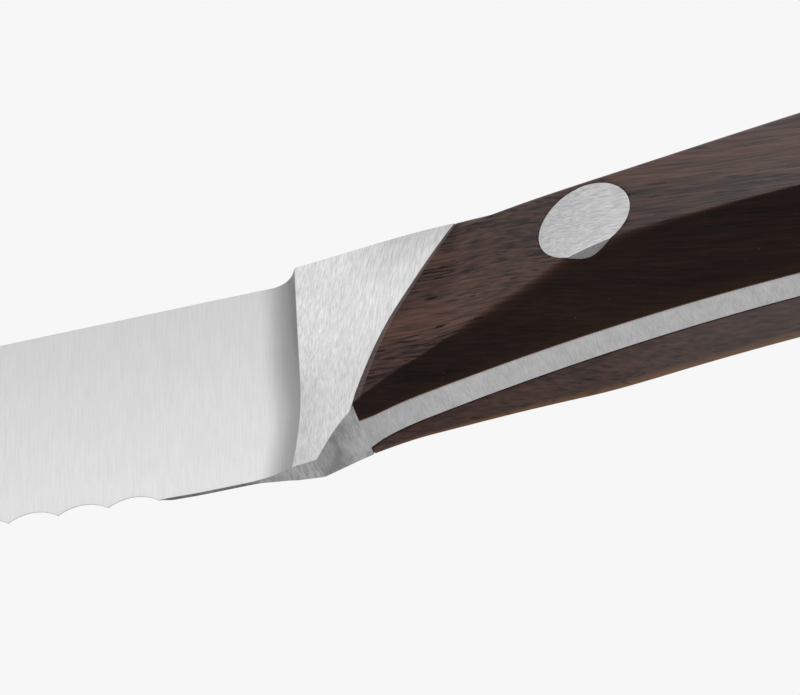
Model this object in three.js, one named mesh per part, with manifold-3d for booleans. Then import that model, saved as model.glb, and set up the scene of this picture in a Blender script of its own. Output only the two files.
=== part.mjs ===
// Tomato knife: a forged blade with a scalloped edge, its bolster and full tang in one piece,
// and two wooden scales held by three two-piece rivets.
// Millimetres. The knife lies on its side: X runs from the tip to the butt, Y from the edge to
// the spine, and Z points up, out of the left flank. While it is built, x = 0 is the top of the
// bolster's front edge, y = 0 the line of the spine and z = 0 the middle plane.

import * as THREE from 'three';
import { mergeVertices } from 'three/addons/utils/BufferGeometryUtils.js';
import Module from 'manifold-3d';

// Blade
const BLADE_LENGTH = 130; // bolster front to tip
const BLADE_HEIGHT = 21; // spine to edge at the heel
const SPINE_THICKNESS = 1.78; // at the heel
const HEEL_THICKNESS = 0.31; // just above the edge
const APEX_THICKNESS = 0.05; // the edge itself
const EDGE_RISE_ANGLE = 3.8; // degrees, the edge climbs towards the tip
const TIP_DROP = 10.8; // tip below the line of the spine
const TIP_HEIGHT = 0.5; // blunt end of the point
const SPINE_FALL_LENGTH = 50; // over which the spine falls to the tip
const EDGE_SWEEP_LENGTH = 24; // over which the edge sweeps up to the tip

// Scalloped edge, ground from the right flank
const SCALLOP_PITCH = 4.2;
const SCALLOP_DEPTH = 0.75;
const HEEL_LENGTH = 10.6; // plain edge next to the bolster
const TIP_PLAIN_LENGTH = 6; // plain edge at the point
const BEVEL_ANGLE = 16; // degrees
const BEVEL_RUNOUT = 1.2; // over which the bevel dies out at the heel

// Bolster
const BOLSTER_THICKNESS = 5; // front, at the spine
const BOLSTER_TOE_THICKNESS = 1.38; // front, at the heel
const BOLSTER_REAR_THICKNESS = 7.26; // where the wood starts at the spine
const FILLET_RUN_SPINE = 2.4; // length of the hollow between blade and bolster
const FILLET_RUN_HEEL = 4;
const FRONT_LEAN_ANGLE = 4.6; // degrees, the front edge leans back going down
const FRONT_STRAIGHT = 12; // depth to which the front edge is straight
const FRONT_SWEEP = 1.06; // forward sweep of its lower end
const TOE_LENGTH = 2.7; // flat underside
const TOE_REAR_THICKNESS = 1.85;
const TOE_CHAMFER = 0.05; // lower ridge outside the edge of the underside
const TOE_FLARE = 0.06; // half thickness gained per millimetre along the toe
const RAMP_LENGTH = 3.6; // underside that climbs to the handle's belly
const RAMP_RISE = 3.2;
const RAMP_START_SLOPE = 1.15; // steepest at the toe
const RAMP_FLARE = 0.45; // half thickness gained per millimetre at its start

// Joint between the bolster and the wood: straight above, curved towards the belly
const JOINT_TOP = 13.8; // behind the bolster front, at the spine
const JOINT_BEND = 9.27; // behind the bolster front, where the curve starts
const JOINT_BEND_DROP = 8.2; // start of the curve below the spine line
const JOINT_FOOT = 6; // behind the bolster front, at the belly
const JOINT_DROP = 17; // belly end below the spine line
const JOINT_LEAN = 0.555; // rearwards per millimetre upwards, straight part
const JOINT_FOOT_LEAN = 0.12; // at the belly
const JOINT_GAP = 0.12; // along the knife
const GLUE_LINE = 0.05; // between scale and tang

// Handle
const HANDLE_LENGTH = 113; // bolster front to butt
const HANDLE_THICKNESS = 15; // across the flat sides
const FLARE_END = 30; // where the sides become parallel
const FLARE_FOOT_THICKNESS = 5.5; // across the lower ridges where the wood starts
const FLARE_STRAIGHT = 22; // where the lower ridge starts to become parallel
const LOWER_FLARE = 0.246; // half thickness gained per millimetre where the wood starts
const UPPER_FLARE = 0.42;
const HUMP_PLACE = 64;
const HUMP_RISE = 4.6; // back above the spine line
const WAIST_PLACE = 52;
const WAIST_DEPTH = 11; // belly below the spine line
const BELLY_START_SLOPE = 0.295; // behind the ramp
const BUTT_BACK_DROP = 0.8; // back below the spine line at the butt
const BUTT_BACK_SLOPE = -0.2;
const BUTT_BELLY_DEPTH = 18.4;
const BUTT_BELLY_SLOPE = -0.06;
const UPPER_FACET_START_SLOPE = 0.3;
const UPPER_FACET_FLARE_HEIGHT = 3.4; // where the sides become parallel
const UPPER_FACET_HEIGHT = 2.9; // further back
const TOE_FACET_HEIGHT = 0.03; // lower facet where the ramp starts
const RAMP_FACET_HEIGHT = 0.12; // where the ramp ends
const RAMP_FACET_REACH = 0.3; // from there to the wood
const LOWER_FACET_FOOT_HEIGHT = 0.8; // where the wood starts
const LOWER_FACET_START_SLOPE = 0.06;
const LOWER_FACET_HEIGHT = 2.75;
const BACK_WIDTH = 6.6; // flat of the back
const BUTT_CORNER_RADIUS = 6.5;
const BUTT_EDGE_RADIUS = 2.4;
const TANG_FOOT_THICKNESS = 2.85; // at the bolster
const TANG_FRONT_THICKNESS = 2.6; // behind its quick taper
const TANG_NECK = 10; // where that taper ends
const TANG_REAR_THICKNESS = 1.9;

// Rivets
const SLEEVE_HEAD_DIAMETER = 7.75;
const POST_HEAD_DIAMETER = 6.8;
const RIVET_HEAD_THICKNESS = 3.5;
const SLEEVE_DIAMETER = 5;
const POST_DIAMETER = 3.2;
const RIVET_CLEARANCE = 0.05;
const SLEEVE_END_GAP = 0.4; // sleeve to the other head
const POST_END_GAP = 0.4; // post to the bottom of its bore
const POST_BORE_INTO_HEAD = 1;
const FRONT_RIVET_PLACE = 25.75; // behind the bolster front
const REAR_RIVET_INSET = 22.25; // ahead of the butt
const RIVET_DROP = 0.4; // centres below the middle of the side facet
const RIVET_NAMES = ['front', 'middle', 'rear'];

// Fineness
const TIP_STEPS = 8;
const SCALLOP_STEPS = 6;
const HEEL_STEPS = 3;
const FILLET_STEPS = 10;
const TOE_STEPS = 2;
const RAMP_STEPS = 5;
const JOINT_STEPS = 16;
const BOLSTER_STEPS = 4;
const FLARE_STEPS = 10;
const GRIP_STEPS = 16;
const CORNER_STEPS = 6;
const ROUND_STEPS = 32;
const LEAST_STEP = 0.01; // sections closer than this are one
const FLANK_SHARES = [0, 0.25, 0.5, 0.75, 1]; // rows up the flank, from lower to upper ridge
const SPINE_ROW_SHARE = 0.04; // uppermost blade row below the spine, share of the height
const LARGEST_CORNER_SHARE = 0.45; // of the butt's height, for its corner radius
const REACH = 40; // half size of the cutting blocks beyond the knife

const wasm = await Module();
wasm.setup();

const { clamp, lerp, smoothstep, degToRad } = THREE.MathUtils;

// Cubic curve through knots of [place, value, slope], level beyond its ends
function rail(...knots) {
	const spans = knots.slice(1).map(([x1, y1, slope1], i) => {
		const [x0, y0, slope0] = knots[i];
		const third = (x1 - x0) / 3;
		return new THREE.CubicBezierCurve(
			new THREE.Vector2(x0, y0),
			new THREE.Vector2(x0 + third, y0 + slope0 * third),
			new THREE.Vector2(x1 - third, y1 - slope1 * third),
			new THREE.Vector2(x1, y1),
		);
	});
	return (x) => {
		const span = spans.find((s) => x < s.v3.x) ?? spans[spans.length - 1];
		const share = clamp((x - span.v0.x) / (span.v3.x - span.v0.x), 0, 1);
		return span.getPoint(share).y;
	};
}

// Rise of a circular arc that starts level and climbs by rise over run
function hollow(rise, run, along) {
	if (along <= 0 || rise <= 0) return 0;
	const radius = (run * run + rise * rise) / (2 * rise);
	return radius - Math.sqrt(radius * radius - along * along);
}

// Drop of a rounded corner at a distance past the start of its quarter circle
function corner(radius, along) {
	const reach = clamp(along, 0, radius);
	return radius - Math.sqrt(radius * radius - reach * reach);
}

// Blade outline and thickness, by distance ahead of the bolster's front edge
const edgeRise = Math.tan(degToRad(EDGE_RISE_ANGLE));
const wedge = (SPINE_THICKNESS - HEEL_THICKNESS) / (2 * BLADE_HEIGHT);
const bevelSlope = Math.tan(degToRad(BEVEL_ANGLE));
const scallopCount = Math.floor((BLADE_LENGTH - HEEL_LENGTH - TIP_PLAIN_LENGTH) / SCALLOP_PITCH);
const scallopsEnd = HEEL_LENGTH + scallopCount * SCALLOP_PITCH;
const scallopRadius = (SCALLOP_PITCH ** 2 / 4 + SCALLOP_DEPTH ** 2) / (2 * SCALLOP_DEPTH);

function spineLine(ahead) {
	const share = Math.max(0, 1 - (BLADE_LENGTH - ahead) / SPINE_FALL_LENGTH);
	return -TIP_DROP * share * share;
}

function edgeLine(ahead) {
	const straight = (place) => -BLADE_HEIGHT + edgeRise * Math.max(0, place - HEEL_LENGTH);
	const share = Math.max(0, 1 - (BLADE_LENGTH - ahead) / EDGE_SWEEP_LENGTH);
	const sweep = -TIP_DROP - TIP_HEIGHT - straight(BLADE_LENGTH);
	return straight(ahead) + sweep * share * share;
}

function scallop(ahead) {
	if (ahead <= HEEL_LENGTH || ahead >= scallopsEnd) return 0;
	const along = ((ahead - HEEL_LENGTH) % SCALLOP_PITCH) - SCALLOP_PITCH / 2;
	return Math.sqrt(scallopRadius ** 2 - along ** 2) - (scallopRadius - SCALLOP_DEPTH);
}

// Bolster front edge and the half thickness along it, by depth below the spine
function frontEdge(depth) {
	const below = Math.max(0, depth - FRONT_STRAIGHT) / (BLADE_HEIGHT - FRONT_STRAIGHT);
	return Math.tan(degToRad(FRONT_LEAN_ANGLE)) * depth - FRONT_SWEEP * below * below;
}

function frontHalfThickness(depth) {
	return lerp(BOLSTER_THICKNESS, BOLSTER_TOE_THICKNESS, depth / BLADE_HEIGHT) / 2;
}

// Blade section as rows of [x, y, z] on the left flank and on the right flank, from edge to spine
function bladeRows(ahead) {
	const spine = spineLine(ahead);
	const line = edgeLine(ahead);
	const edge = Math.min(line + scallop(ahead), spine - TIP_HEIGHT / 2);
	const halfWedge = (y) => HEEL_THICKNESS / 2 + wedge * (y - line);
	const edgeWidth = 2 * halfWedge(edge);
	const sharp = smoothstep(ahead, HEEL_LENGTH - BEVEL_RUNOUT, HEEL_LENGTH);
	const apex = lerp(edgeWidth, APEX_THICKNESS, sharp);
	const fullBevel = (edgeWidth - APEX_THICKNESS) / (bevelSlope - wedge);
	const bevel = Math.min(fullBevel, (spine - edge) / 2);
	const top = spine - SPINE_ROW_SHARE * (spine - line);
	const heights = [edge, ...FLANK_SHARES.map((share) => lerp(edge + bevel, top, share)), spine];
	const shift = 1 - smoothstep(ahead, FILLET_RUN_HEEL, HEEL_LENGTH);
	const rows = heights.map((y) => {
		const depth = spine - y;
		const run = lerp(FILLET_RUN_SPINE, FILLET_RUN_HEEL, depth / BLADE_HEIGHT);
		const step = frontHalfThickness(depth) - halfWedge(y);
		const z = halfWedge(y) + hollow(step, run, run - ahead);
		return [frontEdge(depth) * shift - ahead, y, z];
	});
	const left = rows.map((row) => new THREE.Vector3(...row));
	const right = rows.map(([x, y, z]) => new THREE.Vector3(x, y, -z));
	right[0].z += edgeWidth - apex;
	return { left, right };
}

// Handle outline, ridges and thickness, by distance behind the top of the bolster's front edge
const rampEnd = TOE_LENGTH + RAMP_LENGTH;
const bellyStart = -BLADE_HEIGHT + RAMP_RISE;
const facetStart = JOINT_FOOT - RAMP_FACET_REACH;
const parallel = HANDLE_THICKNESS / 2;
const buttHeight = BUTT_BELLY_DEPTH - BUTT_BACK_DROP;
const buttCorner = Math.min(BUTT_CORNER_RADIUS, LARGEST_CORNER_SHARE * buttHeight);
const gripEnd = HANDLE_LENGTH - buttCorner;
const bellyLine = rail(
	[TOE_LENGTH, -BLADE_HEIGHT, RAMP_START_SLOPE],
	[rampEnd, bellyStart, BELLY_START_SLOPE],
	[WAIST_PLACE, -WAIST_DEPTH, 0],
	[HANDLE_LENGTH, -BUTT_BELLY_DEPTH, BUTT_BELLY_SLOPE],
);
const backCurve = rail(
	[JOINT_TOP, 0, 0],
	[HUMP_PLACE, HUMP_RISE, 0],
	[HANDLE_LENGTH, -BUTT_BACK_DROP, BUTT_BACK_SLOPE],
);

function tangHalf(x) {
	const neck = clamp((x - JOINT_FOOT) / (TANG_NECK - JOINT_FOOT), 0, 1);
	const rear = clamp((x - TANG_NECK) / (HANDLE_LENGTH - TANG_NECK), 0, 1);
	const front = lerp(TANG_FOOT_THICKNESS, TANG_FRONT_THICKNESS, neck);
	return lerp(front, TANG_REAR_THICKNESS, rear) / 2;
}

function bellyHalf(x) {
	if (x >= rampEnd) return tangHalf(x);
	const toeRear = TOE_REAR_THICKNESS / 2;
	const ramp = (x - TOE_LENGTH) / RAMP_LENGTH;
	if (ramp > 0) return lerp(toeRear, tangHalf(rampEnd), ramp);
	return lerp(BOLSTER_TOE_THICKNESS / 2, toeRear, x / TOE_LENGTH);
}

const lowerFacet = rail(
	[TOE_LENGTH, TOE_FACET_HEIGHT, 0],
	[facetStart, RAMP_FACET_HEIGHT, 0],
	[JOINT_FOOT, LOWER_FACET_FOOT_HEIGHT, LOWER_FACET_START_SLOPE],
	[FLARE_END, LOWER_FACET_HEIGHT, 0],
);
const flareFoot = FLARE_FOOT_THICKNESS / 2;
const lowerHalf = rail(
	[0, BOLSTER_TOE_THICKNESS / 2 + TOE_CHAMFER, TOE_FLARE],
	[TOE_LENGTH, TOE_REAR_THICKNESS / 2 + TOE_CHAMFER, RAMP_FLARE],
	[JOINT_FOOT, flareFoot, LOWER_FLARE],
	[FLARE_STRAIGHT, flareFoot + LOWER_FLARE * (FLARE_STRAIGHT - JOINT_FOOT), LOWER_FLARE],
	[FLARE_END, parallel, 0],
);
const upperFacet = rail(
	[JOINT_TOP, SPINE_ROW_SHARE * BLADE_HEIGHT, UPPER_FACET_START_SLOPE],
	[FLARE_END, UPPER_FACET_FLARE_HEIGHT, 0],
	[HUMP_PLACE, UPPER_FACET_HEIGHT, 0],
);
const bolsterFlare = (BOLSTER_REAR_THICKNESS - BOLSTER_THICKNESS) / (2 * JOINT_TOP);
const upperHalf = rail(
	[JOINT_TOP, BOLSTER_REAR_THICKNESS / 2, UPPER_FLARE],
	[FLARE_END, parallel, 0],
);
const backHalf = rail(
	[0, BOLSTER_THICKNESS / 2, bolsterFlare],
	[JOINT_TOP, BOLSTER_REAR_THICKNESS / 2, 0],
	[FLARE_END, BACK_WIDTH / 2, 0],
);

// Points [height, half thickness] of the handle section at one place; the butt's corners
// squeeze the facets, and its rounded edge draws the sides in
function handleSection(x) {
	const cut = corner(buttCorner, x - gripEnd);
	const back = backCurve(x) - cut;
	const belly = bellyLine(x) + cut;
	const squeeze = (back - belly) / (back - belly + 2 * cut);
	const ease = 1 - corner(BUTT_EDGE_RADIUS, x - (HANDLE_LENGTH - BUTT_EDGE_RADIUS)) / parallel;
	const lower = new THREE.Vector2(belly + lowerFacet(x) * squeeze, lowerHalf(x) * ease);
	const upper = new THREE.Vector2(back - upperFacet(x) * squeeze, upperHalf(x) * ease);
	const edge = new THREE.Vector2(back, backHalf(x) * ease);
	const foot = new THREE.Vector2(belly, Math.min(bellyHalf(x), lower.y));
	if (x < JOINT_TOP) upper.lerpVectors(edge, lower, upperFacet(x) / (back - lower.x));
	return { foot, lower, upper, edge };
}

// Handle rows; underside is the place of the lowest row, the others start at the front edge
function handleRows(underside) {
	const start = frontEdge(BLADE_HEIGHT);
	const share = Math.min(1, (underside - start) / (JOINT_FOOT - start));
	const rowAt = (height, pick) => {
		const depth = BLADE_HEIGHT * (1 - height);
		const x = share < 1 ? lerp(frontEdge(depth), JOINT_FOOT, share) : underside;
		const point = pick(handleSection(x));
		return new THREE.Vector3(x, point.x, point.y);
	};
	const flank = (portion) => ({ lower, upper }) => lower.clone().lerp(upper, portion);
	const left = [
		rowAt(0, ({ foot }) => foot),
		...FLANK_SHARES.map((portion) => rowAt(portion, flank(portion))),
		rowAt(1, ({ edge }) => edge),
	];
	const right = left.map(({ x, y, z }) => new THREE.Vector3(x, y, -z));
	return { left, right };
}

// Solid skin over a row of closed sections with equal counts of points
function loft(sections) {
	const loops = sections.map(({ left, right }) => [...left, ...right.slice().reverse()]);
	const count = loops[0].length;
	const last = (loops.length - 1) * count;
	const index = [];
	for (let base = 0; base < last; base += count) {
		for (let j = 0; j < count; j++) {
			const a = base + j;
			const b = base + ((j + 1) % count);
			index.push(a, a + count, b, b, a + count, b + count);
		}
	}
	for (let j = 1; j < count - 1; j++) {
		index.push(0, j, j + 1);
		index.push(last, last + j + 1, last + j);
	}
	const geometry = new THREE.BufferGeometry().setFromPoints(loops.flat());
	return geometry.setIndex(index);
}

// Evenly spaced places from start to end, without the start
function places(start, end, steps) {
	return Array.from({ length: steps }, (_, i) => lerp(start, end, (i + 1) / steps));
}

// Places from low to high, with near doubles left out
function inOrder(list) {
	const sorted = [...list].sort((a, b) => a - b);
	return sorted.filter((place, i) => i === 0 || place - sorted[i - 1] > LEAST_STEP);
}

// The whole outside of the knife, from tip to butt, before it is divided into its pieces
function outsideGeometry() {
	const tip = [BLADE_LENGTH, ...places(BLADE_LENGTH, scallopsEnd, TIP_STEPS)];
	const scallops = places(scallopsEnd, HEEL_LENGTH, scallopCount * SCALLOP_STEPS);
	const heelEnd = HEEL_LENGTH - BEVEL_RUNOUT;
	const heel = [heelEnd, ...places(heelEnd, FILLET_RUN_HEEL, HEEL_STEPS)];
	const fillet = places(FILLET_RUN_HEEL, 0, FILLET_STEPS);
	const blade = inOrder([...tip, ...scallops, ...heel, ...fillet]).reverse();
	const toe = places(frontEdge(BLADE_HEIGHT), TOE_LENGTH, TOE_STEPS);
	const ramp = [...places(TOE_LENGTH, facetStart, RAMP_STEPS), JOINT_FOOT, rampEnd];
	const bolster = places(rampEnd, JOINT_TOP, BOLSTER_STEPS);
	const flare = places(JOINT_TOP, FLARE_END, FLARE_STEPS);
	const grip = places(FLARE_END, gripEnd, GRIP_STEPS);
	const quarter = places(0, Math.PI / 2, CORNER_STEPS);
	const butt = quarter.map((angle) => gripEnd + buttCorner * Math.sin(angle));
	const handle = inOrder([...toe, ...ramp, ...bolster, ...flare, ...grip, ...butt]);
	return loft([...blade.map(bladeRows), ...handle.map(handleRows)]);
}

// Closed solid of a geometry
function solid(geometry) {
	const bare = geometry.clone();
	bare.deleteAttribute('normal');
	bare.deleteAttribute('uv');
	const { attributes, index } = mergeVertices(bare);
	return new wasm.Manifold(new wasm.Mesh({
		numProp: 3,
		vertProperties: Float32Array.from(attributes.position.array),
		triVerts: Uint32Array.from(index.array),
	}));
}

// Geometry of a closed solid
function geometryOf(body) {
	const { vertProperties, triVerts } = body.getMesh();
	const geometry = new THREE.BufferGeometry();
	geometry.setAttribute('position', new THREE.BufferAttribute(vertProperties, 3));
	geometry.setIndex(new THREE.BufferAttribute(triVerts, 1));
	geometry.computeVertexNormals();
	return geometry;
}

// Line of the joint, by height
const jointLine = rail(
	[-JOINT_DROP, JOINT_FOOT, JOINT_FOOT_LEAN],
	[-JOINT_BEND_DROP, JOINT_BEND, JOINT_LEAN],
	[0, JOINT_TOP, JOINT_LEAN],
);

// Block over the joint and everything in front of it, or behind it from gap onwards
function sideOfJoint(front, gap) {
	const end = front ? -BLADE_LENGTH - REACH : HANDLE_LENGTH + REACH;
	const heights = [-REACH, -JOINT_DROP, ...places(-JOINT_DROP, 0, JOINT_STEPS), REACH];
	const outline = new THREE.Shape([
		new THREE.Vector2(end, REACH),
		new THREE.Vector2(end, -REACH),
		...heights.map((y) => new THREE.Vector2(jointLine(y) + gap, y)),
	]);
	const block = new THREE.ExtrudeGeometry(outline, { depth: 2 * REACH, bevelEnabled: false });
	return solid(block.translate(0, 0, -REACH));
}

// Block across the knife between two heights over the tang's faces
function slab(low, high) {
	const ends = [-JOINT_TOP, JOINT_FOOT, TANG_NECK, HANDLE_LENGTH, HANDLE_LENGTH + REACH];
	const lower = ends.map((x) => new THREE.Vector2(x, low(x)));
	const upper = ends.map((x) => new THREE.Vector2(x, high(x))).reverse();
	const outline = new THREE.Shape([...lower, ...upper]);
	const block = new THREE.ExtrudeGeometry(outline, { depth: 2 * REACH, bevelEnabled: false });
	return solid(block.rotateX(Math.PI / 2).translate(0, REACH, 0));
}

// Centre of a rivet on the side facet
function rivetCentre(x) {
	const { lower, upper } = handleSection(x);
	return new THREE.Vector3(x, (lower.x + upper.x) / 2 - RIVET_DROP, 0);
}

// Solid of revolution about the rivet's axis from [radius, height] points
function turned(profile, centre) {
	const points = profile.map(([radius, height]) => new THREE.Vector2(radius, height));
	const lathe = new THREE.LatheGeometry(points, ROUND_STEPS).rotateX(Math.PI / 2);
	return solid(lathe.translate(centre.x, centre.y, centre.z));
}

const sleeveHeadRadius = SLEEVE_HEAD_DIAMETER / 2;
const postHeadRadius = POST_HEAD_DIAMETER / 2;
const sleeveRadius = SLEEVE_DIAMETER / 2;
const postRadius = POST_DIAMETER / 2;
const boreRadius = postRadius + RIVET_CLEARANCE;
const seat = parallel - RIVET_HEAD_THICKNESS; // underside of a head above the middle plane
const boreBottom = seat + POST_BORE_INTO_HEAD;

// Sleeve half: head on the left flank, bored for the post
function rivetSleeve(centre) {
	const end = -(seat - SLEEVE_END_GAP);
	return turned([
		[0, boreBottom],
		[boreRadius, boreBottom],
		[boreRadius, end],
		[sleeveRadius, end],
		[sleeveRadius, seat],
		[sleeveHeadRadius, seat],
		[sleeveHeadRadius, REACH],
		[0, REACH],
	], centre);
}

// Post half: head on the right flank, pressed into the sleeve
function rivetPost(centre) {
	const end = boreBottom - POST_END_GAP;
	return turned([
		[0, -REACH],
		[postHeadRadius, -REACH],
		[postHeadRadius, -seat],
		[postRadius, -seat],
		[postRadius, end],
		[0, end],
	], centre);
}

// Hole that both halves of a rivet need, with clearance all round
function rivetHole(centre) {
	const leftHead = sleeveHeadRadius + RIVET_CLEARANCE;
	const rightHead = postHeadRadius + RIVET_CLEARANCE;
	const shank = sleeveRadius + RIVET_CLEARANCE;
	const floor = seat - RIVET_CLEARANCE;
	return turned([
		[0, -REACH],
		[rightHead, -REACH],
		[rightHead, -floor],
		[shank, -floor],
		[shank, floor],
		[leftHead, floor],
		[leftHead, REACH],
		[0, REACH],
	], centre);
}

const steel = () => new THREE.MeshStandardMaterial({
	color: 0xc6c7c8, metalness: 1, roughness: 0.34, flatShading: true,
});
const rivetMetal = () => new THREE.MeshStandardMaterial({
	color: 0xbfc0c2, metalness: 1, roughness: 0.4, flatShading: true,
});
const darkWood = () => new THREE.MeshStandardMaterial({
	color: 0x4a3630, metalness: 0, roughness: 0.55, flatShading: true,
});

function piece(name, body, material) {
	const mesh = new THREE.Mesh(geometryOf(body), material);
	mesh.name = name;
	return mesh;
}

const outside = solid(outsideGeometry());
const rearRivetPlace = HANDLE_LENGTH - REAR_RIVET_INSET;
const rivetSpacing = (rearRivetPlace - FRONT_RIVET_PLACE) / (RIVET_NAMES.length - 1);
const centres = RIVET_NAMES.map((_, i) => rivetCentre(FRONT_RIVET_PLACE + i * rivetSpacing));
const holes = centres.map(rivetHole).reduce((all, hole) => all.add(hole));

const tangSlab = slab((x) => -tangHalf(x), tangHalf);
const overTang = slab((x) => tangHalf(x) + GLUE_LINE, () => REACH);
const underTang = slab(() => -REACH, (x) => -tangHalf(x) - GLUE_LINE);
const forging = outside.intersect(sideOfJoint(true, 0).add(tangSlab)).subtract(holes);
const wood = outside.intersect(sideOfJoint(false, JOINT_GAP)).subtract(holes);

const knife = new THREE.Group();
knife.add(piece('blade_forging', forging, steel()));
knife.add(piece('left_scale', wood.intersect(overTang), darkWood()));
knife.add(piece('right_scale', wood.intersect(underTang), darkWood()));
RIVET_NAMES.forEach((name, i) => {
	const sleeve = outside.intersect(rivetSleeve(centres[i]));
	const post = outside.intersect(rivetPost(centres[i]));
	knife.add(piece(`${name}_rivet_sleeve`, sleeve, rivetMetal()));
	knife.add(piece(`${name}_rivet_post`, post, rivetMetal()));
});

// The origin is under the middle of the knife, on the surface it lies on
const box = new THREE.Box3().setFromObject(knife);
const middle = box.getCenter(new THREE.Vector3());
knife.position.set(-middle.x, -middle.y, -box.min.z);

export default knife;
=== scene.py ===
"""Tomato knife: a forging with scalloped blade, bolster and full tang, two dark wood scales, flush rivets.

Every piece is a skin over rings of points that follow one another from the tip to the butt. Sizes are in
metres. While rings are worked out, x = 0 is the top of the bolster's front edge with the tip at negative x,
y = 0 is the line of the spine and z = 0 the middle plane; placed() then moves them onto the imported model.
"""

import math

import bmesh
import bpy
import numpy as np
from bpy.props import FloatProperty, FloatVectorProperty, IntProperty, PointerProperty
from mathutils import Matrix, Vector


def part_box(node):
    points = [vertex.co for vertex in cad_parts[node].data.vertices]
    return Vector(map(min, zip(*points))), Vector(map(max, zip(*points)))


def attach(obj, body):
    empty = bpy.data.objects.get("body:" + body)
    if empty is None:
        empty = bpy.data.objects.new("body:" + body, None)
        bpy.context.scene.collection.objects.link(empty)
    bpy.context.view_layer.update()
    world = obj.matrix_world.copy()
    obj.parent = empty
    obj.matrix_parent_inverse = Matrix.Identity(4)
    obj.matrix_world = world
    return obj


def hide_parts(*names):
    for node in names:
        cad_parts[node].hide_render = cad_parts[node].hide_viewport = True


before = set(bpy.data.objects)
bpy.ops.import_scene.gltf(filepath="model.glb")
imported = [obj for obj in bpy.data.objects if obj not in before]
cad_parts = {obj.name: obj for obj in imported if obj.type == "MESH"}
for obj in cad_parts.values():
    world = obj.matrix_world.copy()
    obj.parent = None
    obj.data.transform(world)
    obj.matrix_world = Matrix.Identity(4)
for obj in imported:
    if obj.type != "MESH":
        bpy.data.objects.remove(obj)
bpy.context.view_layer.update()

bl_info = {
    "name": "Tomato knife",
    "version": (1, 0, 0),
    "blender": (4, 5, 0),
    "location": "3D View > Sidebar > Knife",
    "description": "Builds a tomato knife with a scalloped blade and a riveted wooden handle",
    "category": "Add Mesh",
}

MM = 0.001
BODY = "root"


# Kinds of setting

def length(name, description, millimetres):
    return FloatProperty(
        name=name, description=description, default=millimetres * MM, precision=5, unit="LENGTH"
    )


def angle(name, description, degrees):
    return FloatProperty(
        name=name, description=description, default=math.radians(degrees), unit="ROTATION", subtype="ANGLE"
    )


def slope(name, description, default):
    return FloatProperty(name=name, description=description, default=default)


def colour(name, description, red, green, blue):
    return FloatVectorProperty(
        name=name, description=description, default=(red, green, blue), min=0.0, max=1.0, subtype="COLOR"
    )


class KnifeBlade(bpy.types.PropertyGroup):
    """Sizes of the blade and its edge"""

    length: length("Length", "Bolster front to tip", 130)
    height: length("Height", "Spine to edge at the heel", 21)
    spine_thickness: length("Spine", "Thickness of the spine at the heel", 1.78)
    heel_thickness: length("Heel", "Thickness just above the edge", 0.31)
    apex_thickness: length("Apex", "Thickness of the sharp edge", 0.05)
    bulge: length("Bulge", "Convexity of each flank", 0.05)
    edge_rise: angle("Edge rise", "Climb of the edge towards the tip", 3.8)
    tip_drop: length("Tip drop", "Tip below the line of the spine", 10.8)
    tip_height: length("Tip height", "Blunt end of the point", 0.5)
    spine_fall: length("Spine fall", "Length over which the spine falls to the tip", 50)
    edge_sweep: length("Edge sweep", "Length over which the edge sweeps up to the tip", 24)
    scallop_pitch: length("Scallop pitch", "Width of one scallop", 4.2)
    scallop_depth: length("Scallop depth", "Depth of one scallop", 0.75)
    plain_heel: length("Plain heel", "Plain edge next to the bolster", 10.6)
    heel_drop: length("Heel drop", "Sag of that plain edge", 0.12)
    plain_tip: length("Plain tip", "Plain edge at the point", 6)
    bevel: angle("Bevel", "Slope of the ground edge", 16)
    bevel_runout: length("Bevel runout", "Length over which the bevel dies out at the heel", 1.2)


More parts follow.
